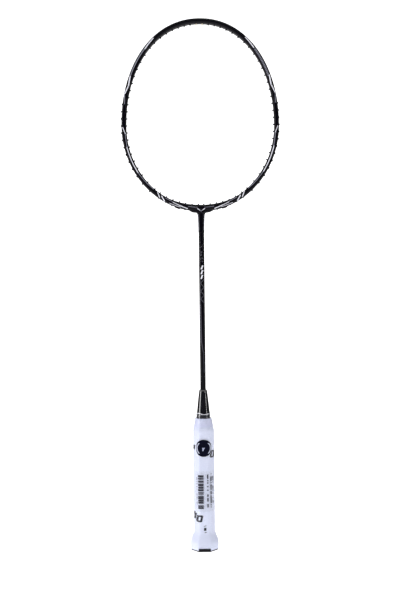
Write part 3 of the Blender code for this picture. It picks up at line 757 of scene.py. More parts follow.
def make_pebble_group():
    """The pressed pebble grain of a soft polyurethane grip."""
    defaults = {"Pebble Size": 0.9 * MM}
    tree, given, result = new_group("Pebble Grain", defaults, ["Height", "Crease"])
    whole = object_place(tree)
    stirred = put(tree, "ShaderNodeTexNoise", {"Vector": whole, "Scale": 900.0}).outputs["Color"]
    shifted = blend_colours(tree, 0.0003, whole, stirred)
    inputs = {"Vector": shifted, "Scale": one_over(tree, given["Pebble Size"]), "Smoothness": 0.35}
    cells = put(tree, "ShaderNodeTexVoronoi", inputs, feature="SMOOTH_F1").outputs["Distance"]
    fill(tree, result, {"Height": maths(tree, "SUBTRACT", 1.0, cells)})
    # Crease is the low ground between pebbles; the grip's colour is darkened there as painted
    # shade.
    fill(tree, result, {"Crease": remap(tree, cells, 0.45, 0.8)})


def make_groups():
    if "Paint Stroke" in bpy.data.node_groups:
        return
    for make in (
        make_stroke_group,
        make_dash_group,
        make_grain_group,
        make_marks_group,
        make_pebble_group,
    ):
        make()


# ---------------------------------------------------------------- materials


def new_material(name, **values):
    """A material and its Principled shader; values set the shader's own sockets."""
    made = bpy.data.materials.get(name)
    if made is not None:
        bpy.data.materials.remove(made)
    made = bpy.data.materials.new(name)
    made.use_nodes = True
    tree = made.node_tree
    shader = tree.nodes["Principled BSDF"]
    feed(tree, shader, **values)
    return made, tree, shader


def feed(tree, shader, **values):
    fill(tree, shader, {socket_name(key): value for key, value in values.items()})


def bump(tree, shader, height, distance, strength=1.0):
    inputs = {"Height": height, "Distance": distance, "Strength": strength}
    feed(tree, shader, normal=put(tree, "ShaderNodeBump", inputs).outputs[0])


def colour(values):
    return (*values[:3], 1.0)


def paler(tint, factor, lift=0.0):
    return colour([min(part * factor + lift, 1.0) for part in tint[:3]])


def stroke_masks(tree, along, across, strokes):
    """One mask from many strokes: (start, end, first, last, width) in millimetres."""
    names = ("start", "end", "first", "last", "width", "softness")
    masks = []
    for stroke in strokes:
        sizes = {name: size * MM for name, size in zip(names, (*stroke, PAINT_SOFTNESS))}
        painted = use_group(tree, "Paint Stroke", along=along, across=across, **sizes)
        masks.append(painted["Mask"])
    return strongest(tree, *masks)


# Strokes, in millimetres, are (start, end, first, last, width): from start to end along the
# piece, the line's middle moves from first to last across it. Along the hoop, start and end are
# distances from the tip; along the throat, the shaft and the grip they are heights.
PAINT_SOFTNESS = 0.28
WHITE_STROKES = [
    (66, 84, 2.1, 3.1, 1.3),
    (124, 137, 2.3, 3.8, 1.5),
    (137.5, 148.0, 3.6, 1.3, 1.3),
    (190.5, 199.5, 1.8, 4.8, 0.8),
    (217, 254, 3.75, 3.7, 1.0),
    (290, 297, 5.6, 1.2, 1.3),
    (297.5, 305, 4.4, 0.3, 1.3),
    (315, 325, 3.9, 3.1, 0.7),
    (324.5, 336, 3.1, 1.5, 0.9),
    (311, 327, 1.1, 1.5, 0.4),
]
GREY_STROKES = [
    (148.5, 161, 1.2, 3.1, 0.8),
    (199, 218, 4.7, 4.0, 0.7),
    (254, 284, 3.8, 5.0, 0.7),
    (303, 315, 4.7, 4.5, 0.55),
    (336, 349, 4.4, 4.6, 0.5),
]
LEFT_STROKES = [(84, 124, 2.8, 2.3, 1.1)]
RIGHT_STROKES = [(85, 125, 3.1, 3.4, 2.3)]
HOOP_FOOT = HOOP_LOW.z / MM
CHEVRON = (HOOP_FOOT - 0.3, HOOP_FOOT + 3.2, 0.0, 4.6, 1.15)
THROAT_RIM = (HOOP_FOOT - 24, HOOP_FOOT - 4, 3.1, 3.9, 0.4)


FLAKE_LEVEL, SPECKLE_LEVEL = 0.66, 0.56
RIB_PITCH = 2.1 * MM
# Strengths of the dim paint, of the shaft's silver lines (partly a painted reflection) and of the
# metal in the hoop's grey lines.
DIM_PAINT, SILVER_AND_REFLECTION_PAINT, PAINT_METAL = 0.3, 0.22, 0.25
HANDLING_WEAR = 0.14


def lacquer(name, props):
    """Black lacquer with a faint pearl, ready for its painted lines."""
    made, tree, shader = new_material(
        name, specular_ior_level=0.02, coat_weight=0.15, coat_roughness=0.05
    )
    grain = use_group(tree, "Fine Grain", grain_size=0.22 * MM, cloud_size=18 * MM)
    rough = {"clean": props.roughness, "rubbed": props.roughness + HANDLING_WEAR}
    marks = use_group(tree, "Handling Marks", **rough)
    dark = colour(props.lacquer_colour)
    flake = maths(tree, "GREATER_THAN", grain["Grain"], FLAKE_LEVEL)
    share = product(tree, flake, grain["Cloud"])
    base = blend_colours(tree, share, dark, paler(dark, 3.2, 0.004))
    feed(tree, shader, roughness=marks["Roughness"])
    bump(tree, shader, grain["Grain"], 0.012 * MM)
    return made, tree, shader, base


def frame_lacquer(props):
    """The hoop's lacquer, with flashes laid by distance round the head and in from its edge."""
    made, tree, shader, base = lacquer("Frame Lacquer", props)
    along, across = map_place(tree, "paint")
    place = place_of(tree)
    white = stroke_masks(tree, along, across, WHITE_STROKES)
    grey = stroke_masks(tree, along, across, GREY_STROKES)
    right = maths(tree, "GREATER_THAN", place["X"], 0.0)
    left = maths(tree, "SUBTRACT", 1.0, right)
    left_line = product(tree, stroke_masks(tree, along, across, LEFT_STROKES), left)
    right_band = product(tree, stroke_masks(tree, along, across, RIGHT_STROKES), right)
    ribs = remap(tree, sine_along(tree, along, RIB_PITCH), -0.4, 0.4, floor=0.2)
    right_band = product(tree, right_band, ribs)
    chevron = stroke_masks(tree, place["Z"], maths(tree, "ABSOLUTE", place["X"]), [CHEVRON])
    white = strongest(tree, white, chevron)
    grey = strongest(tree, grey, left_line, right_band)
    painted = blend_colours(tree, grey, base, colour(props.silver_colour))
    painted = blend_colours(tree, white, painted, colour(props.stripe_colour))
    feed(tree, shader, base_color=painted, metallic=product(tree, grey, PAINT_METAL))
    return made


def throat_lacquer(props):
    made, tree, shader, base = lacquer("Throat Lacquer", props)
    place = place_of(tree)
    across = maths(tree, "ABSOLUTE", place["X"])
    lines = stroke_masks(tree, place["Z"], across, [CHEVRON, THROAT_RIM])
    feed(tree, shader, base_color=blend_colours(tree, lines, base, colour(props.silver_colour)))
    return made


def shaft_lacquer(props):
    """The shaft's lacquer: three bright bars, with dim lines and a speckled field round them; the
    long dim line down the left is partly a painted reflection.
    """
    made, tree, shader, base = lacquer("Shaft Lacquer", props)
    place = place_of(tree)
    x, z = place["X"], place["Z"]
    bars = [
        (343.4 + 6.1 * i, 348.4 + 6.1 * i, -1.0 + 0.2 * i, 0.9 + 0.2 * i, 1.9) for i in range(3)
    ]
    hatch = [
        (313 + 5.0 * i, 317.6 + 5.0 * i, 2.2 - 3.8 * (i % 2), -1.4 + 3.8 * (i % 2), 0.8)
        for i in range(6)
    ]
    hatch.append((312.5, 342.5, -2.2, -2.2, 0.5))
    # Dim silver lines; the long one down the left side is partly a painted reflection of the key
    # light, standing in for its highlight streak.
    stripe_and_reflection = [
        (262, 311.5, -1.6, -2.3, 1.7),
        (250, 263, 0.9, -1.4, 1.0),
        (225, 251, 1.7, 1.2, 0.6),
    ]
    speckled = (362.5, 393, -0.6, -0.9, 4.6)
    speckle = use_group(tree, "Fine Grain", grain_size=2.1 * MM, cloud_size=6 * MM)
    cloud = maths(tree, "GREATER_THAN", speckle["Grain"], SPECKLE_LEVEL)
    cloud = product(tree, cloud, stroke_masks(tree, z, x, [speckled]))
    dim = product(tree, strongest(tree, stroke_masks(tree, z, x, hatch), cloud), DIM_PAINT)
    silver_and_reflection = product(tree, stroke_masks(tree, z, x, stripe_and_reflection), SILVER_AND_REFLECTION_PAINT)
    white = stroke_masks(tree, z, x, bars)
    painted = blend_colours(tree, strongest(tree, dim, silver_and_reflection), base, colour(props.silver_colour))
    painted = blend_colours(tree, white, painted, colour(props.stripe_colour))
    feed(tree, shader, base_color=painted)
    return made


def moulded_plastic(name, tint, roughness, depth=0.02 * MM, coat=0.0):
    """Injection-moulded plastic: fine spark-eroded grain and slight clouding."""
    made, tree, shader = new_material(
        name, specular_ior_level=0.04, coat_weight=coat, coat_roughness=0.08, coat_ior=1.8
    )
    surface = use_group(tree, "Fine Grain", grain_size=0.3 * MM, cloud_size=12 * MM)
    rough = {"clean": roughness, "rubbed": roughness + 0.15}
    marks = use_group(tree, "Handling Marks", smudge_size=12 * MM, **rough)
    base = blend_colours(tree, surface["Cloud"], colour(tint), paler(tint, 1.25, 0.0015))
    feed(tree, shader, base_color=base, roughness=marks["Roughness"])
    bump(tree, shader, surface["Grain"], depth)
    return made


GRIP_PRINTS = [
    (127.4, 133.4, -12.7, -11.8, 2.75),
    (118.4, 125.8, 8.5, 9.4, 2.5),
    (118.2, 125.6, 12.1, 12.8, 2.38),
    (124.6, 126.6, 10.8, 10.9, 3.6),
    (117.2, 119.2, 10.2, 10.3, 3.8),
    (45.2, 49.4, -13.4, -12.2, 2.5),
    (40.2, 47.6, -12.1, -10.6, 2.75),
    (37.8, 45.3, -9.4, -7.8, 2.88),
    (37.0, 44.6, -4.5, -2.8, 3.0),
    (43.2, 45.5, -5.9, -5.4, 6.2),
    (36.6, 38.9, -7.1, -6.6, 6.0),
    (25.8, 29.8, 0.6, 0.9, 3.2),
    (31.2, 32.5, -0.4, 2.0, 2.0),
    (23.1, 24.4, 0.2, 2.6, 2.0),
]
GRIP_INK = (0.004, 0.004, 0.012, 1.0)
# A darker tint of the grip, used for painted shade in the pebble's creases and for random clouding.
GRIP_SHADE = (0.84, 0.86, 0.92)


def grip_polyurethane(props):
    """Soft pebbled grip with painted shade in its creases, its slanted prints the same way round on
    the front and the back.
    """
    made, tree, shader = new_material(
        "Grip Polyurethane", ior=1.45, sheen_weight=0.06, sheen_roughness=0.4
    )
    place = place_of(tree)
    pebble = use_group(tree, "Pebble Grain", pebble_size=0.85 * MM)
    cloud = use_group(tree, "Fine Grain", grain_size=1.2 * MM, cloud_size=30 * MM)
    pale = colour(props.grip_colour)
    shade = colour([part * share for part, share in zip(pale, GRIP_SHADE)])
    # Painted shade: the pebble's creases are darkened towards the shade tint.
    base = blend_colours(tree, product(tree, pebble["Crease"], 0.5), pale, shade)
    # Random clouding towards the same darker tint.
    base = blend_colours(tree, product(tree, cloud["Cloud"], 0.25), base, shade)
    facing = product(tree, maths(tree, "SIGN", place["Y"]), -1.0)
    prints = stroke_masks(tree, place["Z"], product(tree, place["X"], facing), GRIP_PRINTS)
    base = blend_colours(tree, prints, base, GRIP_INK)
    rough = blend_values(tree, pebble["Crease"], 0.46, 0.62)
    feed(tree, shader, base_color=base, roughness=rough)
    bump(tree, shader, pebble["Height"], 0.06 * MM, 0.55)
    return made


def band_tape(props):
    made, tree, shader = new_material("Finishing Tape", ior=1.47, coat_weight=0.25)
    ribs = sine_along(tree, place_of(tree)["Z"], 0.9 * MM)
    grain = use_group(tree, "Fine Grain", grain_size=0.5 * MM, cloud_size=8 * MM)
    tint = colour(props.band_colour)
    base = blend_colours(tree, grain["Cloud"], tint, paler(tint, 1.35))
    feed(tree, shader, base_color=base, roughness=blend_values(tree, grain["Grain"], 0.3, 0.5))
    height = maths(tree, "ADD", product(tree, ribs, 0.3), grain["Grain"])
    bump(tree, shader, height, 0.04 * MM)
    return made


# Tints of the film's haze and of its painted edge reflection; the pale painted highlight on its
# rim; how far the edge reflection and the rim highlight cover.
FILM_HAZE_AND_REFLECTION_TINTS = (0.52, 0.55, 0.66, 1.0), (0.70, 0.72, 0.82, 1.0)
RIM_HIGHLIGHT_TINT = (0.90, 0.91, 0.97, 1.0)
FILM_EDGE_REFLECTION_COVER, RIM_HIGHLIGHT_COVER = 0.55, 0.62


def clear_film(props):
    """Clear film, seen by a painted reflection at its glancing edges, its faint clouding and a
    painted highlight along its cut rim.
    """
    made, tree, shader = new_material("Clear Film", ior=1.5)
    facing = put(tree, "ShaderNodeLayerWeight", {"Blend": 0.35}).outputs["Facing"]
    wrinkle = use_group(tree, "Fine Grain", grain_size=4 * MM, cloud_size=15 * MM)
    # Painted reflection: towards its glancing edges the film turns opaque in its grey-blue tint,
    # which darkens the grip's outline.
    edge = product(tree, maths(tree, "POWER", facing, 3.0), FILM_EDGE_REFLECTION_COVER)
    cloud = product(tree, wrinkle["Cloud"], props.film_haze)
    # Painted highlight: a pale line along the film's cut top rim.
    rim_height = FILM_HIGH.z / MM - 0.5
    rim = stroke_masks(tree, *map_place(tree, "lay"), [(-40, 40, rim_height, rim_height, 0.9)])
    clear = maths(tree, "ADD", edge, cloud, clamp=True)
    clear = strongest(tree, clear, product(tree, rim, RIM_HIGHLIGHT_COVER))
    tint = blend_colours(tree, wrinkle["Grain"], *FILM_HAZE_AND_REFLECTION_TINTS)
    tint = blend_colours(tree, rim, tint, RIM_HIGHLIGHT_TINT)
    rough = blend_values(tree, wrinkle["Cloud"], 0.03, 0.12)
    feed(tree, shader, base_color=tint, alpha=clear, roughness=rough)
    bump(tree, shader, wrinkle["Grain"], 0.3 * MM)
    return made


SEAL_CLOUD = (0.0008, 0.001, 0.012, 1.0)
SEAL_MARK = (0.42, 0.45, 0.62, 1.0)
SEAL_RING = (0.60, 0.63, 0.78, 1.0)
SEAL_MARGIN = (0.82, 0.84, 0.93, 1.0)
SEAL_INNER = 10.8 * MM
CORK_PLACE, CORK_RADIUS = (-1.1 * MM, -2.9 * MM), 0.7 * MM
# The seal's strokes run up it: the shuttlecock's feathers spread from its cork to its rim.
SEAL_RINGS = [(-6.4, 6.4, 8.5, 8.5, 1.0), (-3.0, 3.4, 9.9, 9.9, 0.5)]
FEATHERS = [(-2.2, 0.7, 0.35 * s - 0.9, 1.7 * s - 0.2, 0.45) for s in (-1.0, -0.33, 0.33, 1.0)]
BINDINGS = [(-1.1, -0.75, -0.6, -0.6, 1.7), (-0.2, 0.15, -0.3, -0.3, 2.6)]


def seal_print(props):
    """A dark round seal with rings and a plain shuttlecock."""
    made, tree, shader = new_material("Seal Print", specular_ior_level=0.05)
    u, v = map_place(tree, "print")
    reach = radius_of(tree, u, v)
    rings = stroke_masks(tree, v, reach, SEAL_RINGS)
    from_cork = [maths(tree, "SUBTRACT", here, there) for here, there in zip((u, v), CORK_PLACE)]
    cork = maths(tree, "LESS_THAN", radius_of(tree, *from_cork), CORK_RADIUS)
    mark = strongest(tree, cork, stroke_masks(tree, v, u, FEATHERS + BINDINGS))
    margin = maths(tree, "GREATER_THAN", reach, SEAL_INNER)
    surface = use_group(tree, "Fine Grain", grain_size=0.3 * MM, cloud_size=6 * MM)
    printed = blend_colours(tree, surface["Cloud"], colour(props.seal_colour), SEAL_CLOUD)
    for mask, ink in ((mark, SEAL_MARK), (rings, SEAL_RING), (margin, SEAL_MARGIN)):
        printed = blend_colours(tree, mask, printed, ink)
    rough = blend_values(tree, surface["Cloud"], 0.22, 0.38)
    feed(tree, shader, base_color=printed, roughness=rough)
    bump(tree, shader, strongest(tree, mark, rings), 0.04 * MM)
    return made


# Each bar of the label: its lower and upper height in millimetres, and how dark it is.
LABEL_BARS = [
    (53.7, 55.9, 1.0),
    (56.5, 58.1, 0.98),
    (60.4, 62.6, 1.0),
    (63.0, 65.3, 1.0),
    (65.8, 69.8, 1.0),
    (71.3, 72.2, 0.68),
    (73.0, 74.6, 0.78),
    (76.0, 78.4, 1.0),
    (79.2, 81.6, 0.98),
    (82.4, 85.4, 1.0),
    (86.8, 89.2, 1.0),
    (90.6, 92.4, 0.83),
    (93.2, 96.0, 0.78),
]
BAR_CENTRE, BAR_WIDTH = -4.2, 7.0
# Each column of dashes: centre, width, start, end and pitch in millimetres, seed, darkness.
LABEL_COLUMNS = [
    (-9.9, 0.8, 57.0, 93.0, 1.3, 3.0, 0.45),
    (4.6, 1.7, 54.5, 97.0, 1.5, 11.0, 1.0),
    (9.4, 1.9, 55.0, 97.5, 1.4, 29.0, 1.0),
    (12.9, 1.3, 60.0, 96.0, 1.3, 47.0, 0.8),
]
LABEL_TINTS = (0.66, 0.70, 0.84, 1.0), (0.74, 0.77, 0.89, 1.0)
LABEL_INK = (0.006, 0.007, 0.022, 1.0)
SHEET_COVER, INKED_FROM = 0.035, 0.05


def label_print():
    """A clear label: a run of uneven bars beside columns of dashes."""
    made, tree, shader = new_material("Label Print", ior=1.5, coat_weight=0.1, coat_roughness=0.1)
    u, v = map_place(tree, "print")
    inked = []
    for low, high, darkness in LABEL_BARS:
        bar = stroke_masks(tree, v, u, [(low, high, BAR_CENTRE, BAR_CENTRE, BAR_WIDTH)])
        inked.append(product(tree, bar, darkness))
    for *sizes, seed, darkness in LABEL_COLUMNS:
        sizes = dict(zip(("centre", "width", "start", "end", "pitch"), (s * MM for s in sizes)))
        dashes = use_group(tree, "Dash Column", along=v, across=u, seed=seed, **sizes)
        inked.append(product(tree, dashes["Mask"], darkness))
    ink = strongest(tree, *inked)
    surface = use_group(tree, "Fine Grain", grain_size=0.4 * MM, cloud_size=20 * MM)
    sheet = blend_colours(tree, surface["Cloud"], *LABEL_TINTS)
    inked = maths(tree, "GREATER_THAN", ink, INKED_FROM)
    printed = blend_colours(tree, inked, sheet, LABEL_INK)
    rough = blend_values(tree, surface["Cloud"], 0.25, 0.4)
    cover = blend_values(tree, ink, SHEET_COVER, 1.0)
    feed(tree, shader, base_color=printed, roughness=rough, alpha=cover)
    bump(tree, shader, surface["Grain"], 0.01 * MM)
    return made


LATHE_SCALE = 9000.0
BADGE_TINTS = (0.36, 0.37, 0.44, 1.0), (0.52, 0.53, 0.60, 1.0)


def badge_metal():
    """Turned metal: fine rings round the middle."""
    made, tree, shader = new_material("Badge Metal", ior=1.5, anisotropic=0.4)
    place = place_of(tree)
    turned = product(tree, radius_of(tree, place["X"], place["Y"]), LATHE_SCALE)
    lathe = put(tree, "ShaderNodeTexNoise", {"W": turned}, noise_dimensions="1D").outputs[0]
    surface = use_group(tree, "Fine Grain", grain_size=0.4 * MM, cloud_size=6 * MM)
    base = blend_colours(tree, surface["Cloud"], *BADGE_TINTS)
    metallic = blend_values(tree, surface["Grain"], 0.85, 1.0)
    rough = blend_values(tree, lathe, 0.24, 0.42)
    feed(tree, shader, base_color=base, metallic=metallic, roughness=rough)
    bump(tree, shader, lathe, 0.01 * MM)
    return made


WOOD_TINTS = (0.50, 0.34, 0.19, 1.0), (0.66, 0.48, 0.29, 1.0)


def core_wood():
    """Wood whose rings run along the handle."""
    made, tree, shader = new_material("Core Wood", ior=1.45)
    along_grain = {"Vector": object_place(tree), "Scale": (1.0, 1.0, 0.06)}
    stretched = put(tree, "ShaderNodeMapping", along_grain).outputs[0]
    inputs = {"Vector": stretched, "Scale": 160.0, "Distortion": 5.0}
    inputs |= {"Detail": 3.0, "Detail Scale": 1.4}
    rings = put(tree, "ShaderNodeTexWave", inputs).outputs["Fac"]
    base = blend_colours(tree, rings, *WOOD_TINTS)
    feed(tree, shader, base_color=base, roughness=blend_values(tree, rings, 0.55, 0.7))
    bump(tree, shader, rings, 0.08 * MM)
    return made


WHITE = (1.0, 1.0, 1.0, 1.0)
PAPER_TINTS = (0.90, 0.90, 0.91, 1.0), (0.93, 0.93, 0.935, 1.0)
PAPER_GLOW = 0.92


def stage_paper():
    """Pale backdrop paper, lit evenly from behind."""
    glow = {"emission_color": WHITE, "emission_strength": PAPER_GLOW}
    made, tree, shader = new_material("Stage Paper", ior=1.4, specular_ior_level=0.2, **glow)
    surface = use_group(tree, "Fine Grain", grain_size=3 * MM, cloud_size=500 * MM)
    base = blend_colours(tree, surface["Cloud"], *PAPER_TINTS)
    feed(tree, shader, base_color=base, roughness=blend_values(tree, surface["Grain"], 0.7, 0.85))
    return made


# ---------------------------------------------------------------- handle shapes


def to_octagon(obj, wrinkle=None, round_below=0.0):
    """Pushes a round tube of OUTLINE_POINTS sides out to the handle's octagon."""
    outlines = {}
    for vertex in obj.data.vertices:
        angle = math.atan2(vertex.co.y, vertex.co.x)
        height, radius = vertex.co.z, math.hypot(vertex.co.x, vertex.co.y)
        if radius < round_below:
            vertex.co = (math.cos(angle) * radius, math.sin(angle) * radius, height)
            continue
        key = (round(height, 6), round(radius, 6))
        if key not in outlines:
            outlines[key] = handle_outline(height, radius)
        turn = (angle - OUTLINE_START) * OUTLINE_POINTS / (2 * math.pi)
        point = outlines[key][round(turn) % OUTLINE_POINTS]
        point = Vector((point.x, point.y, height))
        vertex.co = wrinkle(point, angle, height) if wrinkle else point
    obj.data.update()


def draw_handle_tube(name, rings, **ends):
    """A tube whose vertices line up with the handle outline's points."""
    obj = draw_tube(name, OUTLINE_POINTS, round_rings(rings), **ends)
    half_step = math.pi / OUTLINE_POINTS
    offset = (OUTLINE_START - math.pi / 2) % (2 * half_step)
    obj.data.transform(Matrix.Rotation(offset, 4, "Z"))
    return obj


def offsets(height, radius, rows):
    """Profile points, each so many millimetres above a height and outside a radius."""
    return [(height + up * MM, radius + out * MM) for up, out in rows]


def heights_between(low, high, steps):
    return [mix(low, high, i / steps) for i in range(steps + 1)]


def lay_on_film(sticker, middle, lift, map_middle):
    """Bends a flat sticker, drawn in XY, round the film; its map keeps the flat places."""
    flat = [point.co.xy for point in sticker.data.vertices]
    set_map(sticker, "print", [(x, y + map_middle) for x, y in flat])
    for point in sticker.data.vertices:
        point.co = on_film(point.co.x, middle + point.co.y, lift)
    sticker.data.update()
    face_towards(sticker, Vector((0.0, -1.0, 0.0)))


# ---------------------------------------------------------------- pieces


def build_hoop(props):
    section = len(full_section(0.0))
    start_clean()
    bpy.ops.mesh.primitive_torus_add(
        major_segments=HOOP_STEPS,
        minor_segments=section,
        major_radius=HEAD_HALF_WIDTH,
        minor_radius=TUBE_THICK,
    )
    hoop = named("head_hoop")
    paint = []
    points = hoop.data.vertices
    for step in range(HOOP_STEPS):
        distance = 2 * HALF_ROUND * step / HOOP_STEPS
        point, normal = head_frame(distance)
        near = min(distance, 2 * HALF_ROUND - distance)
        for i, (out, depth) in enumerate(full_section(distance)):
            points[step * section + i].co = point + normal * out + Vector((0.0, depth, 0.0))
            paint.append((near, -out))
    set_map(hoop, "paint", paint)
    turn_outwards(hoop)
    smooth(hoop, 35)
    hand_over(hoop, frame_lacquer(props), "frame_hoop")


# Rings of the throat: height, half width and half depth, the heights above the shaft's end
# for the collar and above the hoop's lowest point for the saddle.
COLLAR_RINGS = [
    (-12, 2.1, 2.1),
    (0, 2.1, 2.1),
    (0.02, 3.62, 3.62),
    (0.5, 3.78, 3.78),
    (4, 3.86, 3.86),
    (10, 3.95, 3.95),
    (16, 4.15, 4.1),
    (21, 4.4, 4.28),
]
SADDLE_RINGS = [
    (-3.6, 4.8, 4.42),
    (-2.5, 5.4, 4.52),
    (-1.9, 6.5, 4.6),
    (-1.6, 8.6, 4.66),
    (-1.35, 10.8, 4.7),
    (-0.8, 12.5, 4.7),
    (0, 14.0, 4.68),
    (0.6, 15.0, 4.6),
    (1.4, 15.4, 4.3),
]


def build_throat(props):
    """Collar and saddle in one casting, with pockets for the grommets beside the shaft."""
    foot, crotch = SHAFT_HIGH.z + 0.3 * MM, HOOP_LOW.z
    rings = [
        (base + up * MM, width * MM, depth * MM)
        for base, rows in ((foot, COLLAR_RINGS), (crotch, SADDLE_RINGS))
        for up, width, depth in rows
    ]
    joint = draw_tube("throat_casting", 96, rings, cap_first=True, cap_last=True)
    apply_modifier(joint, "SUBSURF", levels=1, render_levels=1)
    for side in (1, -1):
        spot = Spot(*LOW_MAIN_SPOTS[1], side)
        start_clean()
        bpy.ops.mesh.primitive_cylinder_add(vertices=32, radius=1.7 * MM, depth=7 * MM)
        pocket = settle(named("pocket_cutter"), spot.matrix())
        apply_modifier(joint, "BOOLEAN", object=pocket, operation="DIFFERENCE", solver="EXACT")
        bpy.data.objects.remove(pocket)
    smooth(joint, 50)
    hand_over(joint, throat_lacquer(props), "throat_joint")


def build_shaft(props):
    bore = 2.5 * MM
    heights = heights_between(SHAFT_HIGH.z, SHAFT_LOW.z, 24)
    outside = [(height, SHAFT_RADIUS) for height in heights]
    inside = [(height, bore) for height in heights[::-1]]
    shaft = draw_tube("shaft_tube", 48, round_rings(outside + inside), join_ends=True)
    smooth(shaft)
    hand_over(shaft, shaft_lacquer(props), "shaft")


def build_cone(props):
    """The cone, with a rolled lip at its top and a hollow for the shaft and the core's neck."""
    top, lip_foot = CONE_HIGH.z, CONE_HIGH.z - 1.7 * MM
    profile = [(CONE_LOW.z, CONE_RADIUS), (CONE_SHOW_BOTTOM, CONE_RADIUS)]
    for height in heights_between(CONE_SHOW_BOTTOM, lip_foot, 14)[1:]:
        profile.append((height, cone_radius(height)))
    lip = [(-1.5, -0.1), (-1.3, -0.02), (-1.0, 0.16), (-0.6, 0.2), (-0.25, 0.06)]
    lip += [(-0.05, -0.24), (0, -0.6)]
    profile += offsets(top, cone_radius(lip_foot), lip)
    profile += offsets(top, SHAFT_RADIUS, [(-0.12, 0.42), (-0.4, 0.3), (-17, 0.32)])
    profile += offsets(CONE_LOW.z, CONE_RADIUS, [(2, -1.5), (0, -1.5)])
    cone = draw_tube("cone_cap", 64, round_rings(profile), join_ends=True)
    smooth(cone, 50)
    plastic = moulded_plastic("Cone Plastic", props.cone_colour, 0.2, depth=0.01 * MM, coat=1.0)
    hand_over(cone, plastic, "cone")


def build_core():
    """The core's CAD shape is right and hidden, so it only gets its material."""
    finish_with(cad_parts["handle_core"], core_wood())


def spiral_seam(depth):
    """Lays a wrapped strip's overlapping edges into the grip's surface."""
    lap, crease_width = 1.6 * MM, 0.7 * MM
    crease_place = WRAP_PITCH - 0.5 * MM

    def wrinkle(point, angle, height):
        out = Vector((point.x, point.y, 0.0)).normalized()
        step = (height / WRAP_PITCH + angle / (2 * math.pi)) % 1.0 * WRAP_PITCH
        edge = 1 - ease(step / lap)
        crease = hump(step, crease_place, crease_width)
        lift = depth * (0.55 * edge - 0.8 * crease)
        soft = noise.noise(Vector((point.x, point.y, height)) * 90) * 0.06 * MM
        return point + out * (lift + soft)

    return wrinkle


def build_grip(props):
    low, top, thick = GRIP_LOW.z, GRIP_HIGH.z, 1.7 * MM
    rings = [(low, grip_half_width(low) - 0.35 * MM)]
    for height in heights_between(low + 0.35 * MM, top, 150):
        rings.append((height, grip_half_width(height)))
    for height in heights_between(top, low, 12):
        rings.append((height, grip_half_width(height) - thick))
    grip = draw_handle_tube("grip_cover", rings, join_ends=True)
    to_octagon(grip, spiral_seam(props.seam_depth))
    smooth(grip, 50)
    hand_over(grip, grip_polyurethane(props), "grip_wrap")


def build_band(props):
    """Tape wound in four turns, each lapped over the last."""
    low, top = BAND_LOW.z, BAND_HIGH.z
    low_half, top_half = band_half_width(low), band_half_width(top)
    rings = offsets(low, low_half, [(0, -0.25), (0.12, -0.04), (0.4, 0)])
    turns, rings_a_turn = 4, 5
    steps = turns * rings_a_turn
    for i, height in enumerate(heights_between(low + 0.5 * MM, top - 0.5 * MM, steps)[1:-1], 1):
        lap = 0.07 * MM if i % rings_a_turn in (1, 2) else 0.0
        rings.append((height, band_half_width(height) - lap))
    rings += offsets(top, top_half, [(-0.3, 0), (-0.08, -0.08), (0, -0.3), (0, -0.6)])
    rings += offsets(low, low_half, [(0, -0.6)])
    band = draw_handle_tube("band_tape", rings, join_ends=True)
    to_octagon(band)
    smooth(band, 50)
    hand_over(band, band_tape(props), "finishing_band")


FILM_SLACK_LOW, FILM_SLACK_HIGH = 140.0 * MM, 168.0 * MM
FILM_FOLD = 0.55 * MM
BULGE_HEIGHT, BULGE_TURN, BULGE_DEPTH = 148.0 * MM, 1.06 * math.pi, 0.9 * MM
FILM_FADE = 6.0 * MM


def film_wrinkle(point, angle, height):
    """Fine folds all over, slack ones at the shoulder, one bulge and an uneven top rim."""
    out = Vector((point.x, point.y, 0.0)).normalized()
    place = Vector((point.x, point.y, height))
    slack = ease((height - FILM_SLACK_LOW) / (2 * FILM_FADE))
    slack *= 1 - ease((height - FILM_SLACK_HIGH) / FILM_FADE)
    fold = abs(noise.noise(place * 150)) * FILM_FOLD * (0.2 + slack)
    bulge = max(math.cos(angle - BULGE_TURN), 0.0) ** 3 * hump(height, BULGE_HEIGHT, FILM_FADE)
    point = point + out * (fold + bulge * BULGE_DEPTH)
    rim = ease((height - FILM_HIGH.z + FILM_FADE) / FILM_FADE)
    point.z += rim * (math.sin(angle * 2 + 0.8) * 0.7 + math.sin(angle * 5) * 0.3) * MM
    return point


def build_film(props):
    rings = [
        (height, film_half_width(height) + 0.02 * MM)
        for height in heights_between(FILM_LOW.z, FILM_HIGH.z, 84)
    ]
    film = draw_handle_tube("film_wrap", rings)
    set_map(film, "lay", [(point.co.x, point.co.z) for point in film.data.vertices])
    to_octagon(film, film_wrinkle)
    turn_outwards(film)
    apply_modifier(film, "SOLIDIFY", thickness=0.08 * MM, offset=-1)
    smooth(film, 50)
    hand_over(film, clear_film(props), "film_sleeve")


def build_seal(props):
    start_clean()
    bpy.ops.mesh.primitive_circle_add(vertices=72, radius=SEAL_RADIUS, fill_type="TRIFAN")
    seal = named("seal_sticker")
    edit_all(seal)
    bpy.ops.mesh.subdivide(number_cuts=9)
    bpy.ops.object.mode_set(mode="OBJECT")
    lay_on_film(seal, SEAL_HEIGHT, STICKER_LIFT + 0.15 * MM, 0.0)
    apply_modifier(seal, "SOLIDIFY", thickness=0.12 * MM, offset=-1)
    smooth(seal, 30)
    hand_over(seal, seal_print(props), "round_sticker")


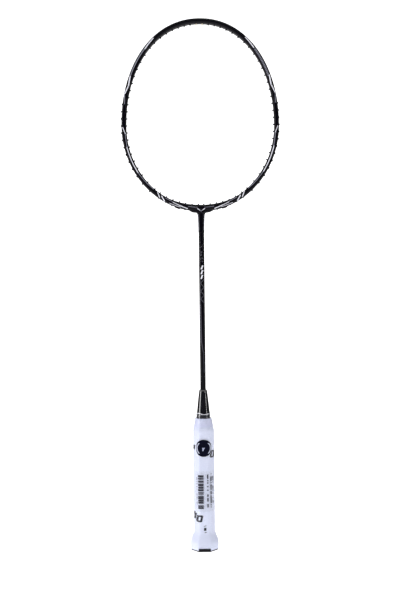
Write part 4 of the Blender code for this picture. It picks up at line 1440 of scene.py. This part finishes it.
def build_label():
    """A grid drawn to the label's size, its corners rounded by narrowing the end rows."""
    start_clean()
    bpy.ops.mesh.primitive_grid_add(x_subdivisions=60, y_subdivisions=64, size=2)
    label = named("bar_label")
    half, corner = (LABEL_HIGH.z - LABEL_LOW.z) / 2, 2.0 * MM
    for point in label.data.vertices:
        x = mix(LABEL_LEFT, LABEL_RIGHT, (point.co.x + 1) / 2)
        y = point.co.y * half
        edge = half - abs(y)
        side = LABEL_RIGHT if x > 0 else LABEL_LEFT
        if edge < corner:
            shrink = corner - math.sqrt(max(corner**2 - (corner - edge) ** 2, 0))
            x *= (abs(side) - shrink) / abs(side)
        point.co = (x, y, 0)
    middle = (LABEL_LOW.z + LABEL_HIGH.z) / 2
    lay_on_film(label, middle, STICKER_LIFT + 0.12 * MM, middle)
    apply_modifier(label, "SOLIDIFY", thickness=0.08 * MM, offset=-1)
    smooth(label, 30)
    hand_over(label, label_print(), "print_label")


def build_cap(props):
    """A flat plate with a well for the badge, and a tab front and back."""
    wall = BUTT_HALF_WIDTH - 0.35 * MM
    well, well_depth = 10.4 * MM, 0.9 * MM
    rings = [(well_depth, well)] + offsets(0.0, well, [(0.18, 0), (0, 0.2)])
    rings += offsets(0.0, wall, [(0, -0.75), (0.1, -0.35), (0.32, -0.08), (0.6, 0)])
    rings.append((CAP_PLATE, wall))
    plate = draw_handle_tube("butt_plate", rings, cap_first=True, cap_last=True)
    to_octagon(plate, round_below=well + 0.4 * MM)
    pieces = [plate]
    tab_low, tab_high, tab_half, tab_thick = 0.3 * MM, CAP_HIGH.z, 7.6 * MM, 1.3 * MM
    reach = CAP_HIGH.y - 0.65 * MM
    for way in (-1, 1):
        start_clean()
        bpy.ops.mesh.primitive_cube_add(
            size=1,
            location=(0, way * reach, (tab_low + tab_high) / 2),
            scale=(2 * tab_half, tab_thick, tab_high - tab_low),
        )
        bpy.ops.object.transform_apply(location=True, rotation=True, scale=True)
        pieces.append(apply_modifier(named("cap_tab"), "BEVEL", width=0.28 * MM, segments=3))
    cap = smooth(join("butt_plate", pieces), 45)
    hand_over(cap, moulded_plastic("Cap Plastic", props.cap_colour, 0.42), "butt_cap")


def build_badge():
    low, radius = BADGE_LOW.z, BADGE_HIGH.x
    face = [(0.12, 0.6), (0.02, 2.2), (0.02, 3.4), (0.2, 3.6), (0.2, 6.6), (0.02, 6.8)]
    rim = [(0, -0.5), (0.05, -0.2), (0.2, 0)]
    rings = offsets(low, 0.0, face) + offsets(low, radius, rim) + [(BADGE_HIGH.z, radius)]
    badge = draw_tube("end_disc", 72, round_rings(rings), cap_first=True, cap_last=True)
    smooth(badge, 35)
    hand_over(badge, badge_metal(), "end_badge")


def draw_grommet(name, bead_radius, bead_height):
    """A grommet hanging down -Z: bead above the outer face, barrel through, nub inside."""
    end = -(TUBE_THICK + NUB_LENGTH)
    profile = [
        (bead_height, BORE_RADIUS + 0.12 * MM),
        (bead_height, 0.62 * bead_radius),
        (0.86 * bead_height, 0.84 * bead_radius),
        (0.55 * bead_height, 0.97 * bead_radius),
        (0.15 * bead_height, bead_radius),
        (-0.25 * MM, bead_radius),
        (-0.25 * MM, BARREL_RADIUS),
        (end + 0.3 * MM, BARREL_RADIUS),
        (end + 0.08 * MM, 0.93 * BARREL_RADIUS),
        (end, 0.78 * BARREL_RADIUS),
        (end, BORE_RADIUS + 0.08 * MM),
        (end + 0.15 * MM, BORE_RADIUS),
        (bead_height - 0.15 * MM, BORE_RADIUS),
    ]
    return draw_tube(name, 20, round_rings(profile), join_ends=True)


def fitted_grommet(master, name, spot, sunk=0.0):
    """A copy of the master, sunk so deep into its hole, its barrel as long as the rest of it."""
    grommet = copy_of(master, name)
    spot.outer += spot.way * sunk
    extra = spot.length - sunk - TUBE_THICK
    for point in grommet.data.vertices:
        if point.co.z < -MM:
            point.co.z -= extra
    return settle(grommet, spot.matrix())


def build_beads(props):
    """The single grommets: along the sides, above the throat joint, and a pale pair at the tip."""
    nylon = moulded_plastic("Grommet Nylon", props.nylon_colour, 0.34, depth=0.015 * MM)
    natural = moulded_plastic("Natural Nylon", props.natural_colour, 0.38, depth=0.015 * MM)
    master = smooth(draw_grommet("bead_master", props.bead_radius, props.bead_height), 50)
    small = smooth(draw_grommet("small_master", 1.12 * MM, 0.5 * MM), 50)
    for side, word in SIDES:
        for number, row in enumerate(CROSS_SPOTS[GROOVED_CROSSES:], 1):
            bead = fitted_grommet(master, f"bead_{word}_{number:02d}", Spot(*row, side))
            hand_over(bead, nylon, f"side_grommet_{word}_{number:02d}")
        for number, row in enumerate(LOW_MAIN_SPOTS[:2], 1):
            bead = fitted_grommet(small, f"bead_throat_{word}_{number}", Spot(*row, side))
            hand_over(bead, nylon, f"throat_grommet_{word}_{number}")
        spot = Spot(*TOP_MAIN_SPOTS[0], side)
        bead = fitted_grommet(small, f"bead_tip_{word}", spot, sunk=0.85 * MM)
        hand_over(bead, natural, f"top_grommet_{word}")
    for spare in (master, small):
        bpy.data.objects.remove(spare)


def draw_web(name, first, last, side, base, half_width, thick):
    """A flat strip along the head line, its top edges eased down."""
    columns, rows = 9, max(8, round((last - first) / (1.6 * MM)))
    start_clean()
    bpy.ops.mesh.primitive_grid_add(x_subdivisions=rows, y_subdivisions=columns, size=2)
    web = named(name)
    end_ease = 1.2 * MM
    for vertex in web.data.vertices:
        share = (vertex.co.x + 1) / 2
        distance = mix(first, last, share)
        point, normal = head_frame(distance)
        near_end = min(distance - first, last - distance)
        room = math.sqrt(max(1 - (1 - min(near_end / end_ease, 1.0)) ** 2, 0.0))
        depth = vertex.co.y * half_width * mix(0.35, 1.0, room)
        crown = thick * (1 - 0.35 * abs(vertex.co.y) ** 4) * mix(0.55, 1.0, room)
        place = point + normal * (base + crown) + Vector((0.0, depth, 0.0))
        vertex.co = Vector((place.x * side, place.y, place.z))
    web.data.update()
    middle = head_frame((first + last) / 2)[1]
    face_towards(web, Vector((middle.x * side, 0, middle.z)))
    return apply_modifier(web, "SOLIDIFY", thickness=0.9 * thick, offset=-1)


# Each grommet strip: its holes, the height of its underside, half its width, its thickness.
GROOVE_STRIP = (-GROOVE_DEPTH + 0.02 * MM, 0.9 * GROOVE_FLOOR, 0.5 * MM)
STRIPS = {
    "top_strip": (TOP_MAIN_SPOTS[1:], *GROOVE_STRIP),
    "shoulder_strip": (CROSS_SPOTS[:GROOVED_CROSSES], *GROOVE_STRIP),
    "throat_strip": (LOW_MAIN_SPOTS[:1:-1], -0.3 * MM, 1.25 * MM, 0.45 * MM),
}
STRIP_END = 2.2 * MM
PAD_MIDDLE = LOW_MAIN_SPOTS[3][0]
PAD_HALF_LENGTH, PAD_HALF_WIDTH, PAD_THICK = 3.7 * MM, 2.0 * MM, 1.4 * MM


def draw_strip(name, side, master):
    """One strip: its web, its barrels and, beside the throat, its raised pad."""
    row, base, half_width, thick = STRIPS[name]
    low, high = sorted((row[0][0], row[-1][0]))
    ends = low - STRIP_END, high + STRIP_END
    pieces = [draw_web(f"{name}_web", *ends, side, base, half_width, thick)]
    if name == "throat_strip":
        ends = PAD_MIDDLE - PAD_HALF_LENGTH, PAD_MIDDLE + PAD_HALF_LENGTH
        pieces.append(draw_web("pad", *ends, side, base, PAD_HALF_WIDTH, PAD_THICK))
    sunk = -(base + thick) - 0.02 * MM
    for number, hole in enumerate(row):
        barrel = fitted_grommet(master, f"{name}_barrel_{number}", Spot(*hole, side), sunk)
        pieces.append(barrel)
    return pieces


def build_strips(props):
    nylon = moulded_plastic("Strip Nylon", props.nylon_colour, 0.34, depth=0.015 * MM)
    master = draw_grommet("strip_master", 1.16 * MM, 0.34 * MM)
    for side, word in SIDES:
        for name in STRIPS:
            strip = smooth(join(f"{name}_{word}_run", draw_strip(name, side, master)), 45)
            hand_over(strip, nylon, f"{name}_{word}")
    bpy.data.objects.remove(master)


# ---------------------------------------------------------------- stage

SWEEP_WIDTH, SWEEP_FRONT, SWEEP_BACK = 3.4, -5.0, 2.6
SWEEP_TURN, SWEEP_TURN_STEPS, SWEEP_WALL = 1.6, 14, 4.5
AIR_SEEN = 1.05
BEAM_SPREAD = math.radians(110)
RACKET_AIM, FLOOR_AIM, SWEEP_AIM = (0.0, 0.0, 0.36), (0.0, 1.0, 0.0), (0.0, 2.9, 0.6)
# Each lamp: its name, the setting of its power, its place, its width and height, its aim.
LAMPS = [
    ("key_softbox", "key_power", (-1.75, -0.62, 0.75), (0.55, 1.5), RACKET_AIM),
    ("fill_softbox", "fill_power", (1.6, -0.85, 0.7), (0.08, 1.4), RACKET_AIM),
    ("front_overhead", "overhead_power", (0.0, -1.5, 2.5), (3.2, 1.8), RACKET_AIM),
    ("floor_light", "floor_power", (0.0, 0.9, 2.9), (2.4, 1.2), FLOOR_AIM),
    ("sweep_light", "sweep_power", (0.0, 1.6, 3.1), (3.6, 2.0), SWEEP_AIM),
]
CAMERA_SIDE = -0.2 * MM
CAMERA_TILT, CAMERA_ROLL = math.radians(90), math.radians(0.624)


def build_sweep():
    """A paper floor that turns up into a wall behind the racket."""
    start_clean()
    bpy.ops.mesh.primitive_plane_add(size=1)
    floor = named("stage_sweep")
    edit_all(floor)
    length, middle = SWEEP_BACK - SWEEP_FRONT, (SWEEP_BACK + SWEEP_FRONT) / 2
    bpy.ops.transform.resize(value=(SWEEP_WIDTH, length, 1), center_override=(0, 0, 0))
    bpy.ops.transform.translate(value=(0, middle, 0))
    select_points(floor, lambda place: place.y > SWEEP_BACK - 0.01)
    last = (0.0, 0.0)
    for i in range(1, SWEEP_TURN_STEPS + 1):
        angle = math.pi / 2 * i / SWEEP_TURN_STEPS
        here = (SWEEP_TURN * math.sin(angle), SWEEP_TURN * (1 - math.cos(angle)))
        move = (0, here[0] - last[0], here[1] - last[1])
        bpy.ops.mesh.extrude_region_move(TRANSFORM_OT_translate={"value": move})
        last = here
    bpy.ops.mesh.extrude_region_move(TRANSFORM_OT_translate={"value": (0, 0, SWEEP_WALL)})
    bpy.ops.mesh.select_all(action="SELECT")
    bpy.ops.mesh.normals_make_consistent(inside=True)
    bpy.ops.object.mode_set(mode="OBJECT")
    if floor.data.polygons[0].normal.z < 0:
        floor.data.flip_normals()
    smooth(floor, 60)
    finish_with(floor, stage_paper())


def build_air(props):
    """Dim surroundings, which only the camera sees as white."""
    world = bpy.data.worlds.new("Studio Air")
    world.use_nodes = True
    tree = world.node_tree
    seen = put(tree, "ShaderNodeLightPath").outputs["Is Camera Ray"]
    strength = blend_values(tree, seen, props.air_strength, AIR_SEEN)
    air = {"Color": colour(props.air_colour), "Strength": strength}
    fill(tree, tree.nodes["Background"], air)
    bpy.context.scene.world = world
    bpy.context.scene.view_settings.view_transform = "Standard"


def build_lamps(props):
    for name, power, place, size, aim in LAMPS:
        data = bpy.data.lights.new(name, "AREA")
        data.shape = "RECTANGLE"
        data.size, data.size_y = size
        data.energy = getattr(props, power)
        data.spread = BEAM_SPREAD
        lamp = bpy.data.objects.new(name, data)
        bpy.context.scene.collection.objects.link(lamp)
        lamp.location = place
        lamp.rotation_euler = (Vector(aim) - Vector(place)).to_track_quat("-Z", "Y").to_euler()


def build_camera(props):
    """A level camera before the racket, rolled by a little over half a degree."""
    lens = bpy.data.cameras.new("front_camera")
    lens.sensor_width = 36.0
    lens.lens = props.focal_length
    camera = bpy.data.objects.new("front_camera", lens)
    bpy.context.scene.collection.objects.link(camera)
    camera.location = (CAMERA_SIDE, -props.camera_distance, props.camera_height)
    camera.rotation_euler = (CAMERA_TILT, CAMERA_ROLL, 0)
    bpy.context.scene.camera = camera


# ---------------------------------------------------------------- settings


def tint_setting(name, description, default):
    return bpy.props.FloatVectorProperty(
        name=name,
        description=description,
        default=default,
        size=3,
        min=0.0,
        max=1.0,
        subtype="COLOR",
    )


def length_setting(name, description, default):
    return bpy.props.FloatProperty(
        name=name,
        description=description,
        default=default,
        min=0.0,
        precision=5,
        unit="LENGTH",
        subtype="DISTANCE",
    )


def share_setting(name, description, default):
    return bpy.props.FloatProperty(
        name=name, description=description, default=default, min=0.0, max=1.0, subtype="FACTOR"
    )


def power_setting(name, description, default):
    return bpy.props.FloatProperty(
        name=name, description=description, default=default, min=0.0, unit="POWER"
    )


class RacketFrameSettings(bpy.types.PropertyGroup):
    lacquer_colour: tint_setting("Lacquer", "Ground colour of the frame", (0.0016, 0.0013, 0.0032))
    silver_colour: tint_setting("Silver", "Colour of the dim painted lines", (0.30, 0.30, 0.36))
    stripe_colour: tint_setting("Stripe", "Colour of the bright flashes", (0.80, 0.80, 0.88))
    roughness: share_setting("Roughness", "Roughness of clean lacquer", 0.15)


class RacketHandleSettings(bpy.types.PropertyGroup):
    grip_colour: tint_setting("Grip", "Colour of the polyurethane grip", (0.66, 0.69, 0.83))
    band_colour: tint_setting("Band", "Colour of the finishing tape", (0.48, 0.50, 0.65))
    cone_colour: tint_setting("Cone", "Colour of the cone", (0.0015, 0.0014, 0.0035))
    cap_colour: tint_setting("Cap", "Colour of the butt cap", (0.008, 0.008, 0.010))
    seal_colour: tint_setting("Seal", "Colour of the round seal", (0.0004, 0.0005, 0.005))
    seam_depth: length_setting("Seam depth", "Step where the grip overlaps", 0.16 * MM)
    film_haze: share_setting("Film haze", "How milky the clear film is", 0.04)


class RacketStringingSettings(bpy.types.PropertyGroup):
    nylon_colour: tint_setting("Nylon", "Colour of the grommets", (0.003, 0.003, 0.005))
    natural_colour: tint_setting("Natural", "Colour of the tip pair", (0.70, 0.62, 0.48))
    bead_radius: length_setting("Bead radius", "Radius of a side grommet's bead", 1.3 * MM)
    bead_height: length_setting("Bead height", "How far a bead stands proud", 1.0 * MM)


class RacketStageSettings(bpy.types.PropertyGroup):
    air_colour: tint_setting("Air", "Colour of the surrounding light", (0.95, 0.96, 1.0))
    air_strength: share_setting("Air strength", "Strength of the surrounding light", 0.06)
    key_power: power_setting("Key", "Power of the left softbox", 8.5)
    fill_power: power_setting("Fill", "Power of the right softbox", 2.6)
    overhead_power: power_setting("Overhead", "Power of the front overhead light", 12.4)
    floor_power: power_setting("Floor", "Power of the light above the floor", 9.0)
    sweep_power: power_setting("Sweep", "Power of the backdrop light", 21.0)
    focal_length: bpy.props.FloatProperty(
        name="Focal length", description="Lens of the camera", default=46.6, unit="CAMERA"
    )
    camera_distance: length_setting("Camera distance", "Camera to the string plane", 1.0)
    camera_height: length_setting("Camera height", "Camera above the floor", 0.3128)


SETTINGS = {
    "racket_frame": RacketFrameSettings,
    "racket_handle": RacketHandleSettings,
    "racket_stringing": RacketStringingSettings,
    "racket_stage": RacketStageSettings,
}


# ---------------------------------------------------------------- operators


class RACKET_OT_stage(bpy.types.Operator):
    """Add the floor, the lights and the camera"""

    bl_idname = "racket.stage"
    bl_label = "Stage"

    def execute(self, context):
        build_sweep()
        build_air(context.scene.racket_stage)
        build_lamps(context.scene.racket_stage)
        build_camera(context.scene.racket_stage)
        return {"FINISHED"}


class RACKET_OT_hoop(bpy.types.Operator):
    """Build the head's tube with its groove and painted lines"""

    bl_idname = "racket.hoop"
    bl_label = "Head Hoop"

    def execute(self, context):
        build_hoop(context.scene.racket_frame)
        return {"FINISHED"}


class RACKET_OT_throat(bpy.types.Operator):
    """Build the joint between the hoop and the shaft"""

    bl_idname = "racket.throat"
    bl_label = "Throat Joint"

    def execute(self, context):
        build_throat(context.scene.racket_frame)
        return {"FINISHED"}


class RACKET_OT_shaft(bpy.types.Operator):
    """Build the shaft with its painted bars"""

    bl_idname = "racket.shaft"
    bl_label = "Shaft"

    def execute(self, context):
        build_shaft(context.scene.racket_frame)
        return {"FINISHED"}


class RACKET_OT_cone(bpy.types.Operator):
    """Build the cone above the grip"""

    bl_idname = "racket.cone"
    bl_label = "Cone"

    def execute(self, context):
        build_cone(context.scene.racket_handle)
        return {"FINISHED"}


class RACKET_OT_core(bpy.types.Operator):
    """Give the wooden core its grain"""

    bl_idname = "racket.core"
    bl_label = "Handle Core"

    def execute(self, context):
        build_core()
        return {"FINISHED"}


class RACKET_OT_grip(bpy.types.Operator):
    """Wrap the grip round the handle"""

    bl_idname = "racket.grip"
    bl_label = "Grip"

    def execute(self, context):
        build_grip(context.scene.racket_handle)
        return {"FINISHED"}


class RACKET_OT_band(bpy.types.Operator):
    """Wind the finishing tape over the grip's top"""

    bl_idname = "racket.band"
    bl_label = "Finishing Band"

    def execute(self, context):
        build_band(context.scene.racket_handle)
        return {"FINISHED"}


class RACKET_OT_film(bpy.types.Operator):
    """Pull the clear film over the handle"""

    bl_idname = "racket.film"
    bl_label = "Clear Film"

    def execute(self, context):
        build_film(context.scene.racket_handle)
        return {"FINISHED"}


class RACKET_OT_stickers(bpy.types.Operator):
    """Stick the round seal and the bar label on the film"""

    bl_idname = "racket.stickers"
    bl_label = "Stickers"

    def execute(self, context):
        build_seal(context.scene.racket_handle)
        build_label()
        return {"FINISHED"}


class RACKET_OT_butt(bpy.types.Operator):
    """Build the butt cap and its badge"""

    bl_idname = "racket.butt"
    bl_label = "Butt Cap"

    def execute(self, context):
        build_cap(context.scene.racket_handle)
        build_badge()
        return {"FINISHED"}


class RACKET_OT_beads(bpy.types.Operator):
    """Set the single grommets in their holes"""

    bl_idname = "racket.beads"
    bl_label = "Single Grommets"

    def execute(self, context):
        build_beads(context.scene.racket_stringing)
        return {"FINISHED"}


class RACKET_OT_strips(bpy.types.Operator):
    """Set the grommet strips round the head"""

    bl_idname = "racket.strips"
    bl_label = "Grommet Strips"

    def execute(self, context):
        build_strips(context.scene.racket_stringing)
        return {"FINISHED"}


OPERATORS = (
    RACKET_OT_stage,
    RACKET_OT_hoop,
    RACKET_OT_throat,
    RACKET_OT_shaft,
    RACKET_OT_cone,
    RACKET_OT_core,
    RACKET_OT_grip,
    RACKET_OT_band,
    RACKET_OT_film,
    RACKET_OT_stickers,
    RACKET_OT_butt,
    RACKET_OT_beads,
    RACKET_OT_strips,
)


class RACKET_PT_pieces(bpy.types.Panel):
    """The racket's settings and the steps that build it"""

    bl_idname = "RACKET_PT_pieces"
    bl_label = "Badminton Racket"
    bl_space_type = "VIEW_3D"
    bl_region_type = "UI"
    bl_category = PANEL_TAB

    def draw(self, context):
        for name, group in SETTINGS.items():
            box = self.layout.box()
            settings = getattr(context.scene, name)
            for key in group.__annotations__:
                box.prop(settings, key)
        column = self.layout.column(align=True)
        for operator in OPERATORS:
            column.operator(operator.bl_idname)


def register():
    for kind in (*SETTINGS.values(), *OPERATORS, RACKET_PT_pieces):
        bpy.utils.register_class(kind)
    for name, group in SETTINGS.items():
        setattr(bpy.types.Scene, name, bpy.props.PointerProperty(type=group))


def unregister():
    for name in SETTINGS:
        delattr(bpy.types.Scene, name)
    for kind in (RACKET_PT_pieces, *OPERATORS[::-1], *list(SETTINGS.values())[::-1]):
        bpy.utils.unregister_class(kind)


def main():
    register()
    make_groups()
    for operator in OPERATORS:
        area, name = operator.bl_idname.split(".")
        getattr(getattr(bpy.ops, area), name)()


if __name__ == "__main__":
    main()
